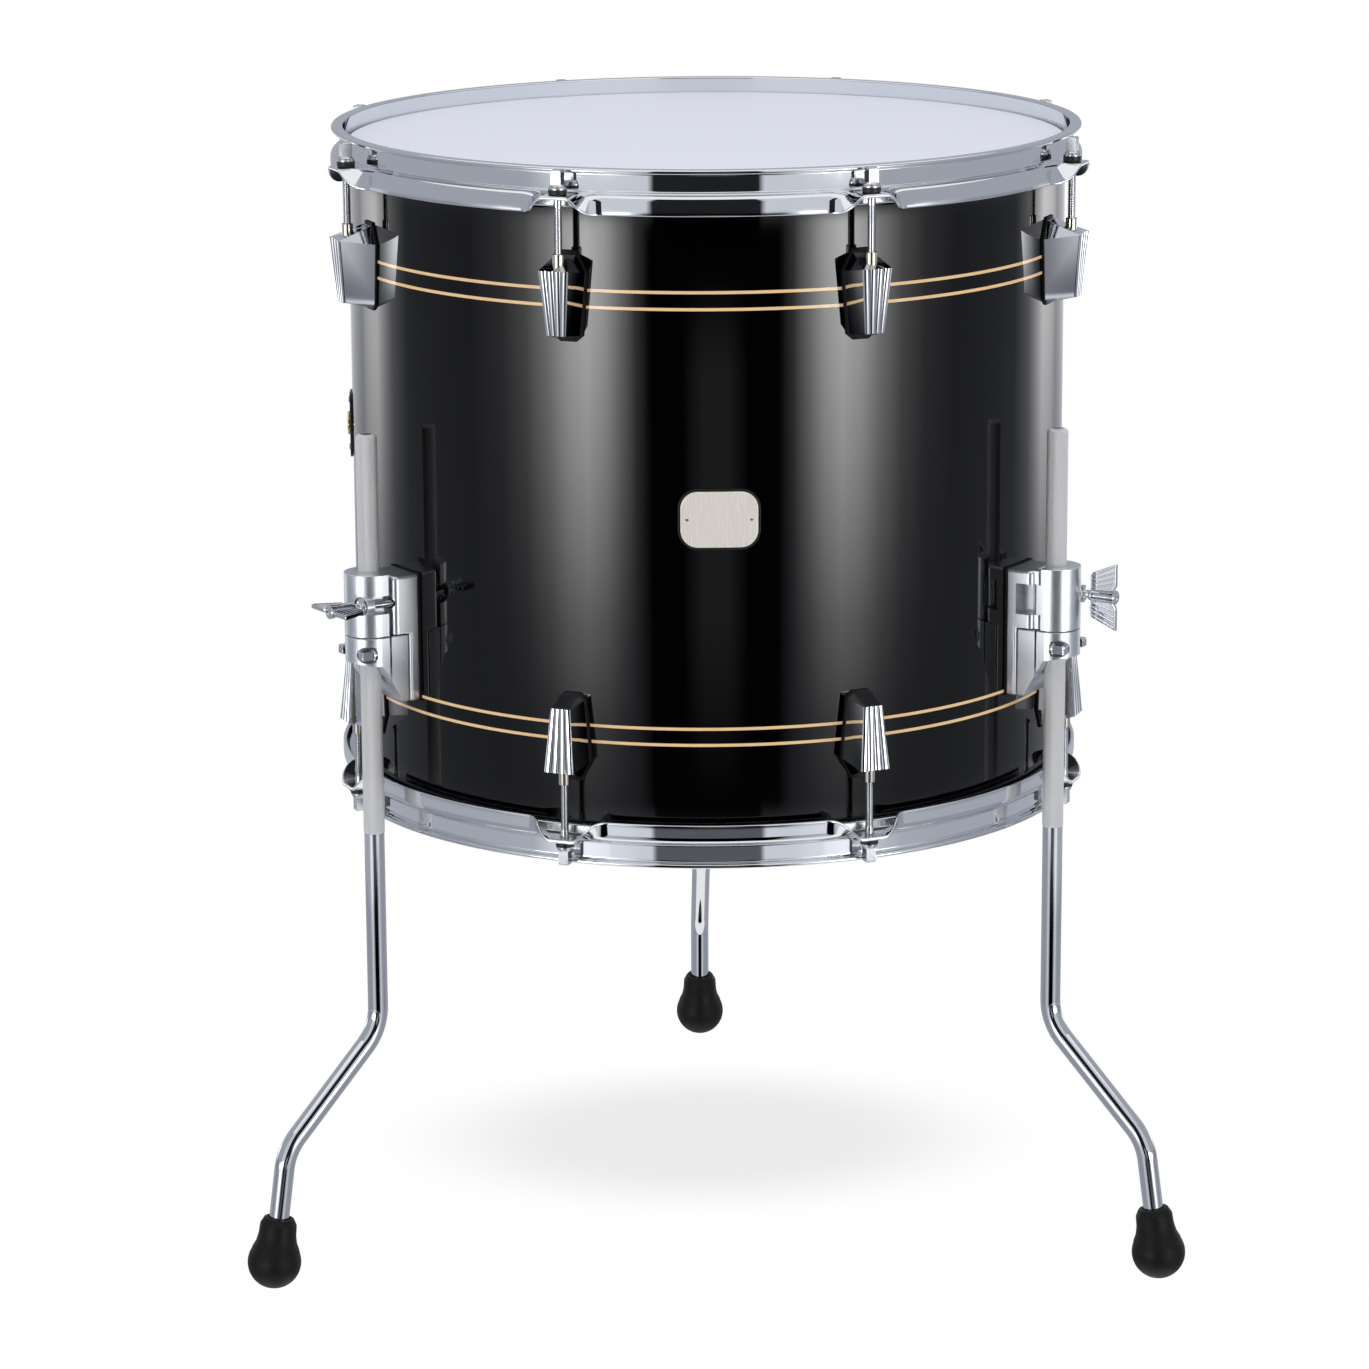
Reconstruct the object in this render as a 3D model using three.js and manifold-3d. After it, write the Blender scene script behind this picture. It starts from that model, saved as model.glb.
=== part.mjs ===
// A floor tom: an 18 by 16 inch wooden drum on three cranked legs.
// Millimetres, +Z up. The floor is z = 0, and the origin is the middle of the area that the drum covers.
// Each half of the drum is built about the shell's centre, with its head towards +Z.
// In a station's own frame x points away from the drum's axis and z points up.
import * as THREE from 'three';
import { ConvexGeometry } from 'three/addons/geometries/ConvexGeometry.js';
import { mergeVertices } from 'three/addons/utils/BufferGeometryUtils.js';
import Module from 'manifold-3d';

const wasm = await Module();
wasm.setup();

// Clearances
const fit = 0.3; // gap left between two pieces that touch on the real drum
const overrun = 2; // how far a cutter runs past the surface that it opens

// Shell
const shellRadius = 228.6;
const shellDepth = 406.4;
const shellWall = 7;
const shellMidHeight = 502; // middle of the shell above the floor
const edgeRound = 1.6; // outer break of the bearing edge
const ringSides = 48;
const cornerSteps = 3; // facets of a small rounded corner
const frontSteps = 10; // facets of a bracket's half round front

// Heads
const filmThickness = 0.8;
const filmSkirtDepth = 11; // from the bearing edge down the outside of the shell
const fleshHoopWidth = 5.6;
const fleshHoopHeight = 6;

// Counter hoops
const rimRise = 10.9; // rim above the bearing edge
const rimOverhang = 5.2; // rim past the outside of the hoop's wall
const rimThickness = 2.7;
const hoopThickness = 2.3;
const hoopStandOff = 2.4; // inside of the hoop's wall from the shell's outside
const ledgeDrop = 3.1; // top of the ledge at the hoop's wall, below the bearing edge
const earDrop = 4.6; // top of the ears below the bearing edge
const skirtGap = 1.3; // from the flesh hoop to the inside of the hoop's skirt
const skirtDepth = 11; // from the bend to the skirt's lower edge
const earReach = 14; // from the bend to the edge of an ear, where the skirt turns out
const earHalfWidth = 7;
const flareReach = 27; // along the hoop, from the rod to where the skirt hangs straight again
const flareShares = [0, 0.3, 0.65, 1];
const plainSteps = 4; // straight stretches of hoop between two ears

// Tension rods
const rodsPerHead = 8;
const rodOffset = 14.9; // rod axis from the shell's outside
const rodRadius = 2.6;
const rodSides = 8;
const softWasherRadius = 5.7;
const softWasherThickness = 3.1;
const steelWasherRadius = 5.5;
const steelWasherCrownRadius = 4.3;
const steelWasherThickness = 2.9;
const rodHeadWidth = 6.3;
const rodHeadHeight = 8.9;
const rodThreadInLug = 24;

// Tension lugs
const lugEdgeGap = 40.2; // bearing edge to the wide end of the lug
const lugLength = 54;
const lugFaceSetWide = 9; // how far the front face stops short of the wide end
const lugFaceSetNarrow = 5.4;
const lugShoulderSet = 13; // where the sloped wide end meets the sides, at the shell
const lugToeSet = 3;
const lugDepthWide = 24.4;
const lugDepthNarrow = 20.4;
const lugFaceHalfWide = 9.65;
const lugFaceHalfNarrow = 6.1;
const lugBaseHalfWide = 12.3;
const lugBaseHalfNarrow = 9;
const lugCrownHalf = 5.5;
const lugToeHalf = 4.5;
const grooveDepth = 1.2;
const grooveHalfWidth = 0.8;
const grooveShares = [-0.5, 0, 0.5];
const swivelNutRadius = 3.6;
const swivelNutSink = 14;
const swivelBoreDepth = 27;

// Badge and vent
const badgeWidth = 50;
const badgeHeight = 37.5;
const badgeCornerRadius = 12;
const badgeThickness = 1.4;
const badgeRise = 2; // badge centre above the shell's middle
const badgeTurn = 0.5; // degrees round the shell
const ventAzimuth = -90;
const ventRise = 20;
const ventPlateWidth = 24;
const ventPlateHeight = 42;
const ventPlateCorner = 6;
const ventPlateThickness = 1.6;
const ventHoleRadius = 6;
const grommetWall = 1.2;
const grommetFlange = 2;
const grommetFlangeThickness = 1.2;

// Legs and feet
const frontLegAzimuth = 57;
const legOffset = 26.4; // leg axis from the shell's outside
const legRadius = 6.35;
const legSides = 12;
const legTopHeight = 541;
const legTopRound = 2.4;
const kneeHeight = 157; // where the upper and the sloped stretch would meet
const ankleHeight = 88; // where the sloped and the lower stretch would meet
const ankleReach = 69; // the ankle's distance from the upper leg's axis
const lowerLegTilt = 8.5; // degrees off plumb
const legBendRadius = 35;
const legEndHeight = 15;
const bendSteps = 4;
const footBallRadius = 17;
const footBallHeight = 16.4; // ball centre above the floor
const footNeckLength = 29; // ball centre to the mouth
const footMouthRadius = 9.2;
const footShoulderRadius = 11.6;
const footShoulderDrop = 4;
const footWaistRadius = 11.9;
const footWaistDrop = 10;
const footBoreClearance = 0.5;
const footBoreDepth = 31;
const footBallAngles = [-72, -45, -18, 8, 38]; // degrees up from the ball's waist

// Leg brackets: x is from the leg's axis, z from the seam between the clamp and the memory lock
const seamDrop = 87.4; // seam below the shell's middle
const bracketHalfWidth = 16;
const bracketCorner = 4;
const baseFrontSet = 7.8; // front of the base behind the leg's axis
const baseRise = 37.4;
const baseFall = 43.1;
const tailFrontSet = 19.2; // front of the base's lower part behind the leg's axis
const padHalfWidth = 4.5;
const padEndSet = 4;
const jawRadius = 15.7;
const jawRise = 39.8;
const jawFreeEdgeSet = 4.7;
const jawHingeEdgeSet = 2.3;
const jawBoreRadius = 7.5;
const jawBoreSet = 0.55;
const hingeSet = 6.5; // hinge pin behind the leg's axis
const hingeOffset = 9.5; // hinge pin to the side of the leg's axis
const knuckleRadius = 3.5;
const knuckleBottom = 9.7;
const knuckleHeight = 19;
const hingePinRadius = 1.5;
const hingePinHead = 3;
const armEndSet = 0.5; // hinge arm short of the base's top and bottom
const windowDepth = 11.8;
const windowWallOffset = 5.2; // inner wall of the window to the side of the leg's axis
const boltOffset = 12; // wing bolt's axis to the side of the leg's axis
const boltRise = 20.6;
const boltRadius = 2.3;
const boltReach = 15; // the bolt's tip behind the leg's axis
const boltPlay = 1.05; // room round the bolt in the base
const bossRadius = 5.4;
const bossFace = 11.6;
const spotFacePlay = 0.8; // room round the wing bolt's collar
const notchHeight = 11.5;
const notchFront = 6;

// Wing bolts
const wingCollarRadius = 5.6;
const wingCollarThickness = 2;
const wingHubRadius = 4.4;
const wingEnd = 36.5; // from the leg's axis
const wingRootSet = 3.2;
const wingRootHalf = 3;
const wingShoulderSet = 7;
const wingShoulderHalf = 14;
const wingTipHalf = 21.3;
const wingNeckSet = 4.5;
const wingNeckHalf = 7;
const wingThickness = 3;
const wingTurns = [90, 0, 35]; // degrees, how the wings happen to stand

// Memory locks
const lockFrontFall = 16;
const lockBellyFall = 18.6;
const lockBackSet = 18.6;
const lockTailSet = 15.5;
const lockBoreRadius = 6.95;
const lockSplitFront = 4.9;
const lockSplitBack = 6.2;
const keyBoltOffset = 12.4;
const keyBoltFall = 10.6;
const keyBoltRadius = 2.2;
const keyBoltSink = 14;
const keyRecessRadius = 5.2;
const keyRecessFloor = 4.5;
const keyCollarRadius = 4.2;
const keyCollarThickness = 2;
const keyHeadWidth = 5.4;
const keyHeadEnd = 14.6;

const chrome = { color: 0xd9dde2, roughness: 0.12, metalness: 1 };
const satinSteel = { color: 0xc9ccd2, roughness: 0.4, metalness: 1 };
const blackLacquer = { color: 0x08080a, roughness: 0.08, metalness: 0 };
const coatedFilm = { color: 0xdfe2ee, roughness: 0.55, metalness: 0 };
const clearFilm = { color: 0xcfd4da, roughness: 0.3, metalness: 0 };
const aluminium = { color: 0xb9bcc0, roughness: 0.45, metalness: 1 };
const rubber = { color: 0x141414, roughness: 0.75, metalness: 0 };
const blackPlate = { color: 0x111113, roughness: 0.35, metalness: 0 };
const brass = { color: 0xb08d57, roughness: 0.3, metalness: 1 };

// Places worked out from the sizes
const halfDepth = shellDepth / 2;
const legCircle = shellRadius + legOffset;
const rodCircle = shellRadius + rodOffset;
const seamHeight = shellMidHeight - seamDrop;
const filmCollarRadius = shellRadius + fit + filmThickness;
const fleshHoopInside = filmCollarRadius + fit;
const fleshHoopOutside = fleshHoopInside + fleshHoopWidth;
const ledgeTop = halfDepth - ledgeDrop;
const ledgeUnder = ledgeTop - hoopThickness;
const earTop = halfDepth - earDrop;
const earUnder = earTop - hoopThickness;
const hoopWallInside = shellRadius + hoopStandOff;
const hoopWallOutside = hoopWallInside + hoopThickness;
const rimRadius = hoopWallOutside + rimOverhang;
const skirtMiddle = fleshHoopOutside + skirtGap + hoopThickness / 2;
const lugWideEnd = halfDepth - lugEdgeGap;
const lugNarrowEnd = lugWideEnd - lugLength;
const lowerLegAngle = THREE.MathUtils.degToRad(lowerLegTilt);
const footReach = ankleReach + (ankleHeight - footBallHeight) * Math.tan(lowerLegAngle);
const drumAxisY = (rimRadius - (legCircle + footReach + footBallRadius)) / 2;

// Turns a geometry's faces outward and keeps only its shared corners.
function facingOut(geometry) {
  const bare = new THREE.BufferGeometry();
  bare.setAttribute('position', geometry.getAttribute('position').clone());
  if (geometry.index) bare.setIndex(geometry.index.clone());
  const merged = mergeVertices(bare);
  const place = merged.getAttribute('position');
  const corners = merged.index.array;
  const [a, b, c] = [new THREE.Vector3(), new THREE.Vector3(), new THREE.Vector3()];
  let volume = 0;
  for (let i = 0; i < corners.length; i += 3) {
    a.fromBufferAttribute(place, corners[i]);
    b.fromBufferAttribute(place, corners[i + 1]);
    c.fromBufferAttribute(place, corners[i + 2]);
    volume += a.dot(b.cross(c));
  }
  if (volume < 0) {
    for (let i = 0; i < corners.length; i += 3) {
      [corners[i + 1], corners[i + 2]] = [corners[i + 2], corners[i + 1]];
    }
  }
  return merged;
}

function solidOf(geometry) {
  const merged = facingOut(geometry);
  const vertProperties = new Float32Array(merged.getAttribute('position').array);
  const triVerts = new Uint32Array(merged.index.array);
  return new wasm.Manifold(new wasm.Mesh({ numProp: 3, vertProperties, triVerts }));
}

function geometryOf(solid) {
  const mesh = solid.getMesh();
  const geometry = new THREE.BufferGeometry();
  geometry.setAttribute('position', new THREE.BufferAttribute(new Float32Array(mesh.vertProperties), 3));
  geometry.setIndex(new THREE.BufferAttribute(new Uint32Array(mesh.triVerts), 1));
  return geometry;
}

function joined(first, ...others) {
  return geometryOf(others.reduce((solid, other) => solid.add(solidOf(other)), solidOf(first)));
}

function cut(first, ...cutters) {
  return geometryOf(cutters.reduce((solid, cutter) => solid.subtract(solidOf(cutter)), solidOf(first)));
}

function common(first, second) {
  return geometryOf(solidOf(first).intersect(solidOf(second)));
}

// A profile of [radius, height] points turned about Z.
function turned(profile, sides = ringSides) {
  const points = profile.map(([radius, height]) => new THREE.Vector2(radius, height));
  return new THREE.LatheGeometry(points, sides).rotateX(Math.PI / 2);
}

function ring(inner, outer, bottom, top, sides = ringSides) {
  const profile = [[inner, bottom], [outer, bottom], [outer, top], [inner, top], [inner, bottom]];
  return turned(profile, sides);
}

function upright(radius, bottom, top, sides = rodSides) {
  return turned([[0, bottom], [radius, bottom], [radius, top], [0, top]], sides);
}

// A round bar along the station's x.
function radialBar(radius, start, end, sides = rodSides) {
  return upright(radius, start, end, sides).rotateY(Math.PI / 2);
}

function box(xRange, yRange, zRange) {
  const size = [xRange, yRange, zRange].map(([low, high]) => high - low);
  const middle = [xRange, yRange, zRange].map(([low, high]) => (low + high) / 2);
  return new THREE.BoxGeometry(...size).translate(...middle);
}

// An outline in x and y, raised from bottom to top.
function raised(shape, bottom, top, curveSegments = cornerSteps) {
  const options = { depth: top - bottom, bevelEnabled: false, curveSegments };
  return new THREE.ExtrudeGeometry(shape, options).translate(0, 0, bottom);
}

// An outline of [x, z] points, made as thick as the y range.
function slab(points, [low, high]) {
  const shape = new THREE.Shape(points.map(([x, z]) => new THREE.Vector2(x, z)));
  const geometry = new THREE.ExtrudeGeometry(shape, { depth: high - low, bevelEnabled: false });
  return geometry.rotateX(Math.PI / 2).translate(0, high, 0);
}

function roundedPlate(width, height, corner) {
  const [right, top] = [width / 2, height / 2];
  const shape = new THREE.Shape();
  shape.moveTo(corner - right, -top);
  shape.absarc(right - corner, corner - top, corner, -Math.PI / 2, 0);
  shape.absarc(right - corner, top - corner, corner, 0, Math.PI / 2);
  shape.absarc(corner - right, top - corner, corner, Math.PI / 2, Math.PI);
  shape.absarc(corner - right, corner - top, corner, Math.PI, Math.PI * 1.5);
  return shape;
}

// Skins a row of loops with equal counts. A closed row joins its last loop to its first,
// and an open one is capped with a fan about each end loop's middle.
function skinned(loops, closed) {
  const count = loops[0].length;
  const points = loops.flat();
  const faces = [];
  const rows = closed ? loops.length : loops.length - 1;
  for (let row = 0; row < rows; row += 1) {
    const next = (row + 1) % loops.length;
    for (let i = 0; i < count; i += 1) {
      const j = (i + 1) % count;
      const [a, b, c, d] = [row * count + i, row * count + j, next * count + j, next * count + i];
      faces.push(a, b, c, a, c, d);
    }
  }
  if (!closed) {
    for (const [loop, flip] of [[0, true], [loops.length - 1, false]]) {
      const middle = loops[loop].reduce((sum, point) => sum.add(point), new THREE.Vector3());
      const hub = points.push(middle.divideScalar(count)) - 1;
      for (let i = 0; i < count; i += 1) {
        const [a, b] = [loop * count + i, loop * count + ((i + 1) % count)];
        faces.push(hub, flip ? b : a, flip ? a : b);
      }
    }
  }
  const geometry = new THREE.BufferGeometry().setFromPoints(points);
  geometry.setIndex(faces);
  return geometry;
}

// The shell's outside with a clearance, as it lies in the frame of a station at an azimuth.
function shellCore(azimuth) {
  const tall = shellDepth;
  const core = upright(shellRadius + fit, -tall, tall, ringSides);
  return core.rotateZ(-THREE.MathUtils.degToRad(azimuth - 90));
}

function shellGeometry() {
  const peak = shellRadius - edgeRound;
  const inside = shellRadius - shellWall;
  const bevel = peak - inside;
  const profile = [
    [inside, bevel - halfDepth],
    [peak, -halfDepth],
    [shellRadius, edgeRound - halfDepth],
    [shellRadius, halfDepth - edgeRound],
    [peak, halfDepth],
    [inside, halfDepth - bevel],
    [inside, bevel - halfDepth],
  ];
  const vent = radialBar(ventHoleRadius, shellRadius - shellWall - overrun, shellRadius + overrun);
  vent.translate(0, 0, ventRise).rotateZ(THREE.MathUtils.degToRad(ventAzimuth - 90));
  return cut(turned(profile), vent);
}

// Film over the bearing edge: the two corners of its collar at a distance from the edge.
function collar(distance) {
  const corner = distance * (Math.SQRT2 - 1);
  return [
    [shellRadius - edgeRound + corner, halfDepth + distance],
    [shellRadius + distance, halfDepth - edgeRound + corner],
  ];
}

function headFilmGeometry() {
  const under = collar(fit);
  const over = collar(fit + filmThickness);
  const skirtEnd = halfDepth - filmSkirtDepth;
  return turned([
    [0, halfDepth + fit],
    ...under,
    [shellRadius + fit, skirtEnd],
    [filmCollarRadius, skirtEnd],
    ...over.reverse(),
    [0, halfDepth + fit + filmThickness],
  ]);
}

function fleshHoopGeometry() {
  const top = earUnder - fit;
  return ring(fleshHoopInside, fleshHoopOutside, top - fleshHoopHeight, top);
}

// The hoop's section, with its flange swung out from straight down by an angle.
// The ledge falls from the hoop's wall to the bend, and an ear stands level with the bend's top.
function hoopSection(swing) {
  const half = hoopThickness / 2;
  const length = THREE.MathUtils.mapLinear(swing, 0, Math.PI / 2, skirtDepth, earReach);
  const pivot = new THREE.Vector2(skirtMiddle, earTop - half);
  const along = new THREE.Vector2(Math.sin(swing), -Math.cos(swing));
  const across = new THREE.Vector2(Math.cos(swing), Math.sin(swing)).multiplyScalar(half);
  const mitre = half * Math.tan(Math.PI / 4 - swing / 2);
  const outside = (run) => pivot.clone().add(across).addScaledVector(along, run);
  const inside = (run) => pivot.clone().sub(across).addScaledVector(along, run);
  const rimTop = halfDepth + rimRise;
  const rimUnder = rimTop - rimThickness;
  return [
    new THREE.Vector2(hoopWallInside, ledgeUnder),
    new THREE.Vector2(hoopWallInside, rimTop),
    new THREE.Vector2(rimRadius, rimTop),
    new THREE.Vector2(rimRadius, rimUnder),
    new THREE.Vector2(hoopWallOutside, rimUnder),
    new THREE.Vector2(hoopWallOutside, ledgeTop),
    outside(-mitre),
    outside(length),
    inside(length),
    inside(mitre),
  ];
}

// Angles round the hoop, each with the swing of the flange there.
function hoopStations() {
  const pitch = (2 * Math.PI) / rodsPerHead;
  const flareEnd = flareReach / rodCircle;
  const stations = [];
  for (let ear = 0; ear < rodsPerHead; ear += 1) {
    const middle = (ear + 0.5) * pitch;
    const flare = flareShares.map((share) => {
      const away = (earHalfWidth + (flareReach - earHalfWidth) * share) / rodCircle;
      return [away, (Math.PI / 2) * (1 - THREE.MathUtils.smoothstep(share, 0, 1))];
    });
    for (const [away, swing] of [...flare].reverse()) stations.push([middle - away, swing]);
    for (const [away, swing] of flare) stations.push([middle + away, swing]);
    const plain = pitch - 2 * flareEnd;
    for (let step = 1; step < plainSteps; step += 1) {
      stations.push([middle + flareEnd + (plain * step) / plainSteps, 0]);
    }
  }
  return stations;
}

function hoopGeometry() {
  const loops = hoopStations().map(([angle, swing]) => hoopSection(swing).map(
    (point) => new THREE.Vector3(point.x * Math.cos(angle), point.x * Math.sin(angle), point.y),
  ));
  const holes = [];
  for (let ear = 0; ear < rodsPerHead; ear += 1) {
    const hole = upright(boreRadius(rodRadius, rodSides), earUnder - overrun, earTop + overrun);
    holes.push(hole.translate(rodCircle, 0, 0).rotateZ(((ear + 0.5) * 2 * Math.PI) / rodsPerHead));
  }
  return cut(skinned(loops, true), ...holes);
}

// Corner radius of a faceted bore whose flats clear a round bar.
function boreRadius(barRadius, sides) {
  return (barRadius + fit) / Math.cos(Math.PI / sides);
}

function rodGeometry() {
  const seat = earTop + fit;
  const softTop = seat + softWasherThickness;
  const steelTop = softTop + steelWasherThickness;
  const tip = lugWideEnd - rodThreadInLug;
  const stem = turned([
    [0, tip],
    [rodRadius, tip],
    [rodRadius, seat],
    [softWasherRadius, seat],
    [softWasherRadius, softTop],
    [steelWasherRadius, softTop],
    [steelWasherCrownRadius, steelTop],
    [0, steelTop],
  ], rodSides);
  const half = rodHeadWidth / 2;
  return joined(stem, box([-half, half], [-half, half], [steelTop - overrun, steelTop + rodHeadHeight]));
}

// Lug casing with its swivel nut, in a station's frame with x from the drum's axis.
function lugGeometry() {
  const buried = shellRadius - overrun;
  const corner = (x, half, z) => [new THREE.Vector3(x, half, z), new THREE.Vector3(x, -half, z)];
  const faceTop = lugWideEnd - lugFaceSetWide;
  const faceBottom = lugNarrowEnd + lugFaceSetNarrow;
  const casing = new ConvexGeometry([
    ...corner(buried, lugCrownHalf, lugWideEnd),
    ...corner(buried, lugBaseHalfWide, lugWideEnd - lugShoulderSet),
    ...corner(buried, lugBaseHalfNarrow, lugNarrowEnd + lugToeSet),
    ...corner(buried, lugToeHalf, lugNarrowEnd),
    ...corner(shellRadius + lugDepthWide, lugFaceHalfWide, faceTop),
    ...corner(shellRadius + lugDepthNarrow, lugFaceHalfNarrow, faceBottom),
  ]);
  const grooves = grooveShares.map((share) => skinned([
    grooveLoop(shellRadius + lugDepthNarrow, share * lugFaceHalfNarrow, faceBottom),
    grooveLoop(shellRadius + lugDepthWide, share * lugFaceHalfWide, faceTop),
  ], false));
  const nut = upright(swivelNutRadius, lugWideEnd - swivelNutSink, lugWideEnd);
  const bore = upright(boreRadius(rodRadius, rodSides), lugWideEnd - swivelBoreDepth, lugWideEnd + overrun);
  const body = joined(cut(casing, ...grooves), nut.translate(rodCircle, 0, 0));
  return cut(body, bore.translate(rodCircle, 0, 0));
}

// The three corners of a groove in a lug's face; the groove runs out past both ends.
function grooveLoop(face, side, height) {
  const away = height > lugNarrowEnd + lugLength / 2 ? overrun : -overrun;
  return [
    new THREE.Vector3(face - grooveDepth, side, height + away),
    new THREE.Vector3(face + overrun, side + grooveHalfWidth * (1 + overrun / grooveDepth), height + away),
    new THREE.Vector3(face + overrun, side - grooveHalfWidth * (1 + overrun / grooveDepth), height + away),
  ];
}

// A plate bent round the shell, from its outline in the station's y and z.
function wrappedPlate(width, height, corner, thickness, rise, azimuth) {
  const inner = shellRadius + fit;
  const tall = height / 2 + overrun;
  const sleeve = ring(inner, inner + thickness, rise - tall, rise + tall);
  sleeve.rotateZ(-THREE.MathUtils.degToRad(azimuth - 90));
  const plate = roundedPlate(height, width, corner);
  const outline = raised(plate, shellRadius - shellWall, shellRadius + shellWall);
  return common(sleeve, outline.rotateY(Math.PI / 2).translate(0, 0, rise));
}

function ventBadgeGeometry() {
  const plate = wrappedPlate(
    ventPlateWidth, ventPlateHeight, ventPlateCorner, ventPlateThickness, ventRise, ventAzimuth,
  );
  const hole = radialBar(ventHoleRadius, shellRadius - overrun, shellRadius + ventPlateThickness + overrun);
  return cut(plate, hole.translate(0, 0, ventRise));
}

// The sleeve through the vent hole, with its flange on the plate.
function grommetGeometry() {
  const outer = ventHoleRadius * Math.cos(Math.PI / rodSides) - fit;
  const inside = outer - grommetWall;
  const seat = shellRadius + fit + ventPlateThickness + fit;
  const back = shellRadius - shellWall;
  const profile = [
    [inside, back],
    [outer, back],
    [outer, seat],
    [outer + grommetFlange, seat],
    [outer + grommetFlange, seat + grommetFlangeThickness],
    [inside, seat + grommetFlangeThickness],
    [inside, back],
  ];
  return turned(profile, rodSides).rotateY(Math.PI / 2).translate(0, 0, ventRise);
}

// A circle across a leg, at a point of its centre line and square to the line's direction there.
function legLoop(x, z, angle, radius) {
  const loop = [];
  for (let i = 0; i < legSides; i += 1) {
    const turn = (2 * Math.PI * i) / legSides;
    const side = radius * Math.cos(turn);
    loop.push(new THREE.Vector3(
      x + side * Math.cos(angle),
      radius * Math.sin(turn),
      z + side * Math.sin(angle),
    ));
  }
  return loop;
}

// Loops round one bend whose two stretches would meet at a corner; angles are off plumb, outward.
function bendLoops(cornerX, cornerZ, from, to) {
  const sweep = to - from;
  const setBack = legBendRadius * Math.tan(Math.abs(sweep) / 2);
  const turnSide = Math.sign(sweep);
  const startX = cornerX - setBack * Math.sin(from);
  const startZ = cornerZ + setBack * Math.cos(from);
  const centreX = startX + turnSide * legBendRadius * Math.cos(from);
  const centreZ = startZ + turnSide * legBendRadius * Math.sin(from);
  const loops = [];
  for (let step = 0; step <= bendSteps; step += 1) {
    const angle = from + (sweep * step) / bendSteps;
    const x = centreX - turnSide * legBendRadius * Math.cos(angle);
    const z = centreZ - turnSide * legBendRadius * Math.sin(angle);
    loops.push(legLoop(x, z, angle, legRadius));
  }
  return loops;
}

// The leg stands in a frame with x from the upper leg's axis and z from the floor.
function legGeometry() {
  const slope = Math.atan2(ankleReach, kneeHeight - ankleHeight);
  const endX = ankleReach + (ankleHeight - legEndHeight) * Math.tan(lowerLegAngle);
  return skinned([
    legLoop(0, legTopHeight, 0, legRadius - legTopRound),
    legLoop(0, legTopHeight - legTopRound, 0, legRadius),
    ...bendLoops(0, kneeHeight, 0, slope),
    ...bendLoops(ankleReach, ankleHeight, slope, lowerLegAngle),
    legLoop(endX, legEndHeight, lowerLegAngle, legRadius),
  ], false);
}

// The foot is turned about the lower leg's line and worn flat where it stands.
function footGeometry() {
  const ball = footBallAngles.map((degrees) => {
    const angle = THREE.MathUtils.degToRad(degrees);
    return [footBallRadius * Math.cos(angle), footBallRadius * Math.sin(angle)];
  });
  const bore = (legRadius + footBoreClearance) / Math.cos(Math.PI / legSides);
  const outline = [
    [0, -footBallRadius],
    ...ball,
    [footWaistRadius, footNeckLength - footWaistDrop],
    [footShoulderRadius, footNeckLength - footShoulderDrop],
    [footMouthRadius, footNeckLength],
    [bore, footNeckLength],
    [bore, footNeckLength - footBoreDepth],
    [0, footNeckLength - footBoreDepth],
  ];
  const foot = turned(outline, legSides).rotateY(-lowerLegAngle).translate(footReach, 0, footBallHeight);
  const reach = footBallRadius + overrun;
  const ground = box([footReach - reach, footReach + reach], [-reach, reach], [-reach, 0]);
  return cut(foot, ground);
}

// The bracket's base in plan: square to the shell, with its two front corners rounded.
function basePlan(front) {
  const shape = new THREE.Shape();
  const back = -legOffset - overrun;
  shape.moveTo(back, -bracketHalfWidth);
  shape.absarc(front - bracketCorner, bracketCorner - bracketHalfWidth, bracketCorner, -Math.PI / 2, 0);
  shape.absarc(front - bracketCorner, bracketHalfWidth - bracketCorner, bracketCorner, 0, Math.PI / 2);
  shape.lineTo(back, bracketHalfWidth);
  return shape;
}

function bracketBaseGeometry(azimuth) {
  const windowBack = -baseFrontSet - windowDepth;
  const slotBottom = knuckleBottom - fit;
  const slotTop = knuckleBottom + knuckleHeight + fit;
  const head = raised(basePlan(-baseFrontSet), fit, baseRise);
  const tail = raised(basePlan(-tailFrontSet), -baseFall, fit + overrun);
  const [armBottom, armTop] = [fit + armEndSet, baseRise - armEndSet];
  const arm = upright(knuckleRadius, armBottom, armTop).translate(-hingeSet, -hingeOffset, 0);
  const armRoot = box(
    [-baseFrontSet - bracketCorner, -hingeSet],
    [-hingeOffset - knuckleRadius, knuckleRadius - hingeOffset],
    [armBottom, armTop],
  );
  const pad = box(
    [-baseFrontSet - overrun, -legRadius - fit],
    [-padHalfWidth, padHalfWidth],
    [padEndSet, baseRise - padEndSet],
  );
  const window = box(
    [windowBack, knuckleRadius - hingeSet + overrun],
    [-bracketHalfWidth - overrun, -windowWallOffset],
    [slotBottom, slotTop],
  );
  const pin = upright(hingePinRadius, slotBottom - hingePinHead, slotTop + hingePinHead);
  const boltHole = radialBar(boltRadius + boltPlay, -boltReach - boltPlay, overrun - baseFrontSet);
  const body = cut(
    joined(head, tail, arm, armRoot, pad),
    window,
    boltHole.translate(0, boltOffset, boltRise),
    shellCore(azimuth).translate(-legCircle, 0, 0),
  );
  return joined(body, pin.translate(-hingeSet, -hingeOffset, 0));
}

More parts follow.
